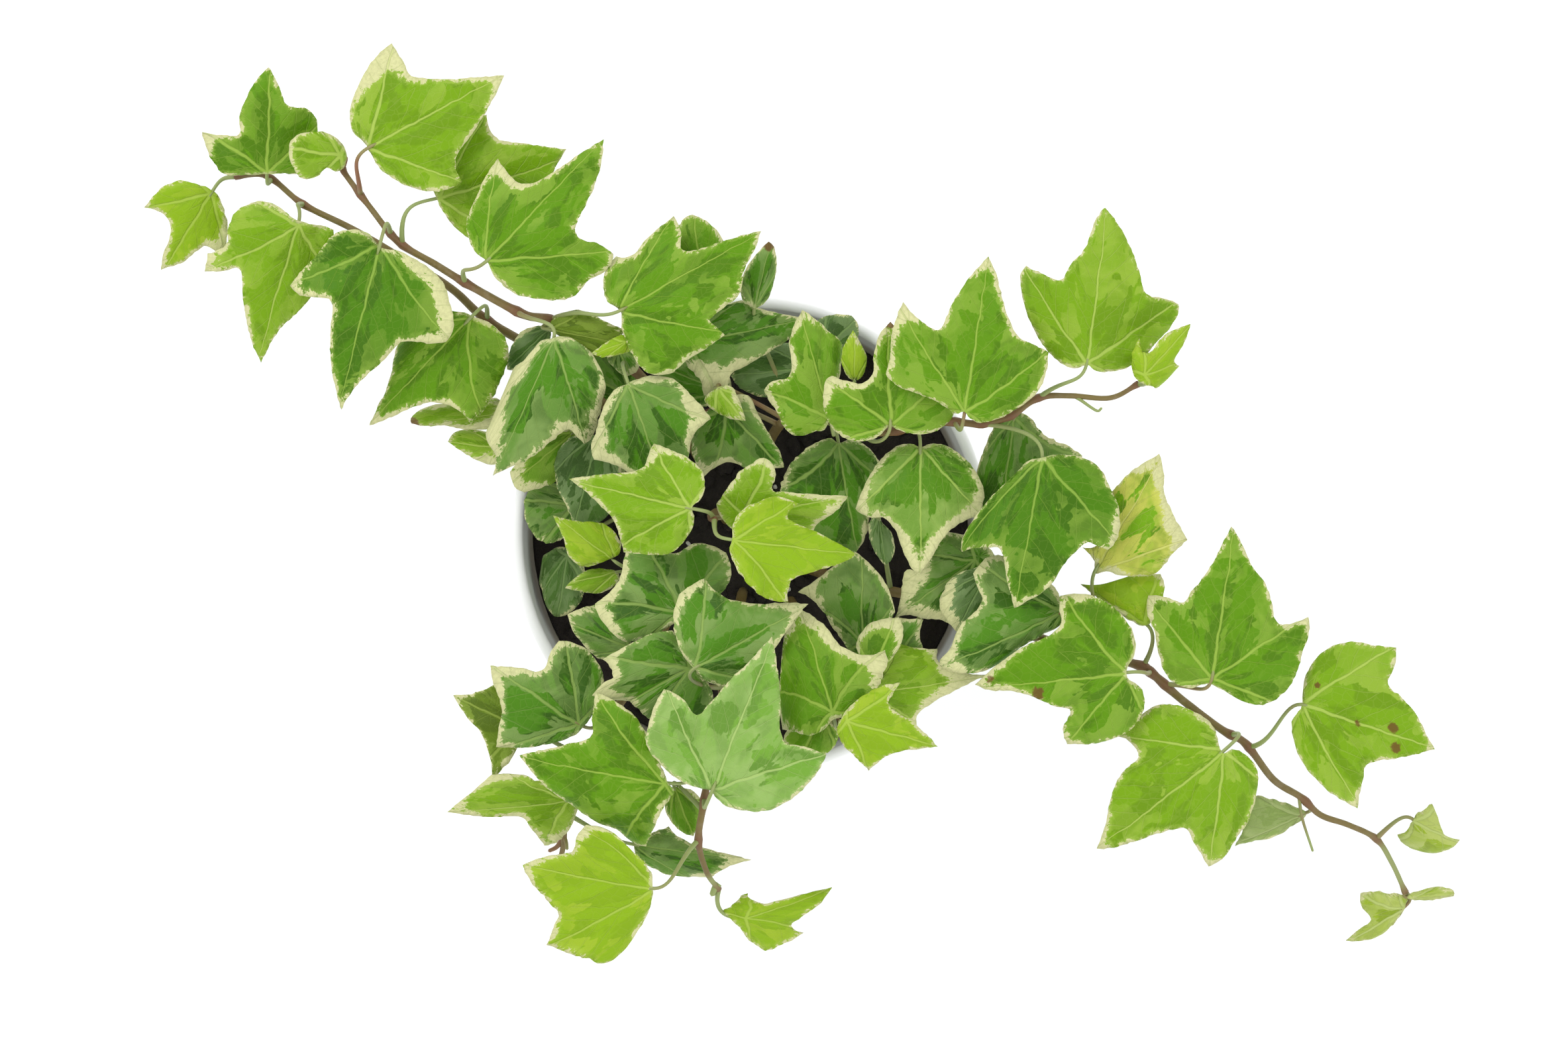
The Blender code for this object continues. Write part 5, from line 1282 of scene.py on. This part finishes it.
def scatter(rng, name, material, number, sizes):
    """Small lumps that lie about on the soil."""
    reach = inner_radius(POT_HEIGHT - SOIL_DROP) - SOIL_GAP - 2
    points, faces = [], []
    for _ in range(number):
        radius, turn = reach * math.sqrt(rng.uniform()), rng.uniform(0, 2 * math.pi)
        size = rng.uniform(*sizes)
        height = soil_height(radius) + 0.1 * size
        centre = np.array((radius * math.cos(turn), radius * math.sin(turn), height))
        more, sides = rough_stone(rng, centre, size, 0.7)
        faces += [tuple(len(points) + i for i in face) for face in sides]
        points += more
    lumps = add_mesh(name, points, faces, [material])
    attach(lumps, "root")


# ---------------------------------------------------------------- studio


def make_camera():
    cam = bpy.data.objects.new("camera", bpy.data.cameras.new("camera"))
    cam.location = (CAMERA_PLAN[0] * MM, CAMERA_PLAN[1] * MM, (POT_HEIGHT + CAMERA_ABOVE_RIM) * MM)
    cam.data.sensor_width = SENSOR
    cam.data.lens = SENSOR * (CAMERA_ABOVE_RIM - SHARP_ABOVE_RIM) / FRAME_WIDTH
    cam.data.clip_end = 20
    bpy.context.scene.collection.objects.link(cam)
    bpy.context.scene.camera = cam


def make_studio():
    corners = [(-1, -1), (1, -1), (1, 1), (-1, 1)]
    floor = add_mesh("studio_floor", [(FLOOR_REACH * x, FLOOR_REACH * y, 0) for x, y in corners],
                     [(0, 1, 2, 3)], [floor_material()])
    world = bpy.data.worlds.new("studio_world")
    world.use_nodes = True
    sky = world.node_tree.nodes["Background"].inputs
    sky["Color"].default_value = (0.97, 0.985, 1.0, 1)
    sky["Strength"].default_value = 1.12
    bpy.context.scene.world = world
    for name, (place, size, power) in LIGHTS.items():
        light = bpy.data.lights.new(name, "AREA")
        light.size = size
        light.energy = power
        obj = bpy.data.objects.new(name, light)
        obj.location = place
        obj.rotation_euler = (Vector(LIGHT_TARGET) - Vector(place)).to_track_quat("-Z", "Y").to_euler()
        bpy.context.scene.collection.objects.link(obj)
    bpy.context.scene.view_settings.view_transform = "Standard"


def make_plant():
    finishes = {key: blade_material(key + "_blade", *value[1:]) for key, value in BLADES.items()}
    stalk_finish, stem_finish = stalk_material(), stem_material()
    joints = {name: [] for name in STEMS}
    for seed, leaf in enumerate(LEAVES + FILLERS):
        obj, node = make_leaf(leaf, seed, finishes[leaf.finish], stalk_finish)
        if leaf.stem:
            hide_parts(leaf.name)
            joints[leaf.stem].append(node)
    for name in STEMS:
        make_stem(name, stem_finish, joints[name])
    for name in SPRIGS:
        make_sprig(name, stalk_finish)


make_plant()
make_pot(pot_material())
soil_finish = soil_material()
make_soil_body(soil_finish)
soil_rng = np.random.default_rng(11)
scatter(soil_rng, "soil_crumbs", soil_finish, 420, (0.5, 2.0))
scatter(soil_rng, "perlite_grains", perlite_material(), 26, (0.5, 1.3))
make_camera()
make_studio()
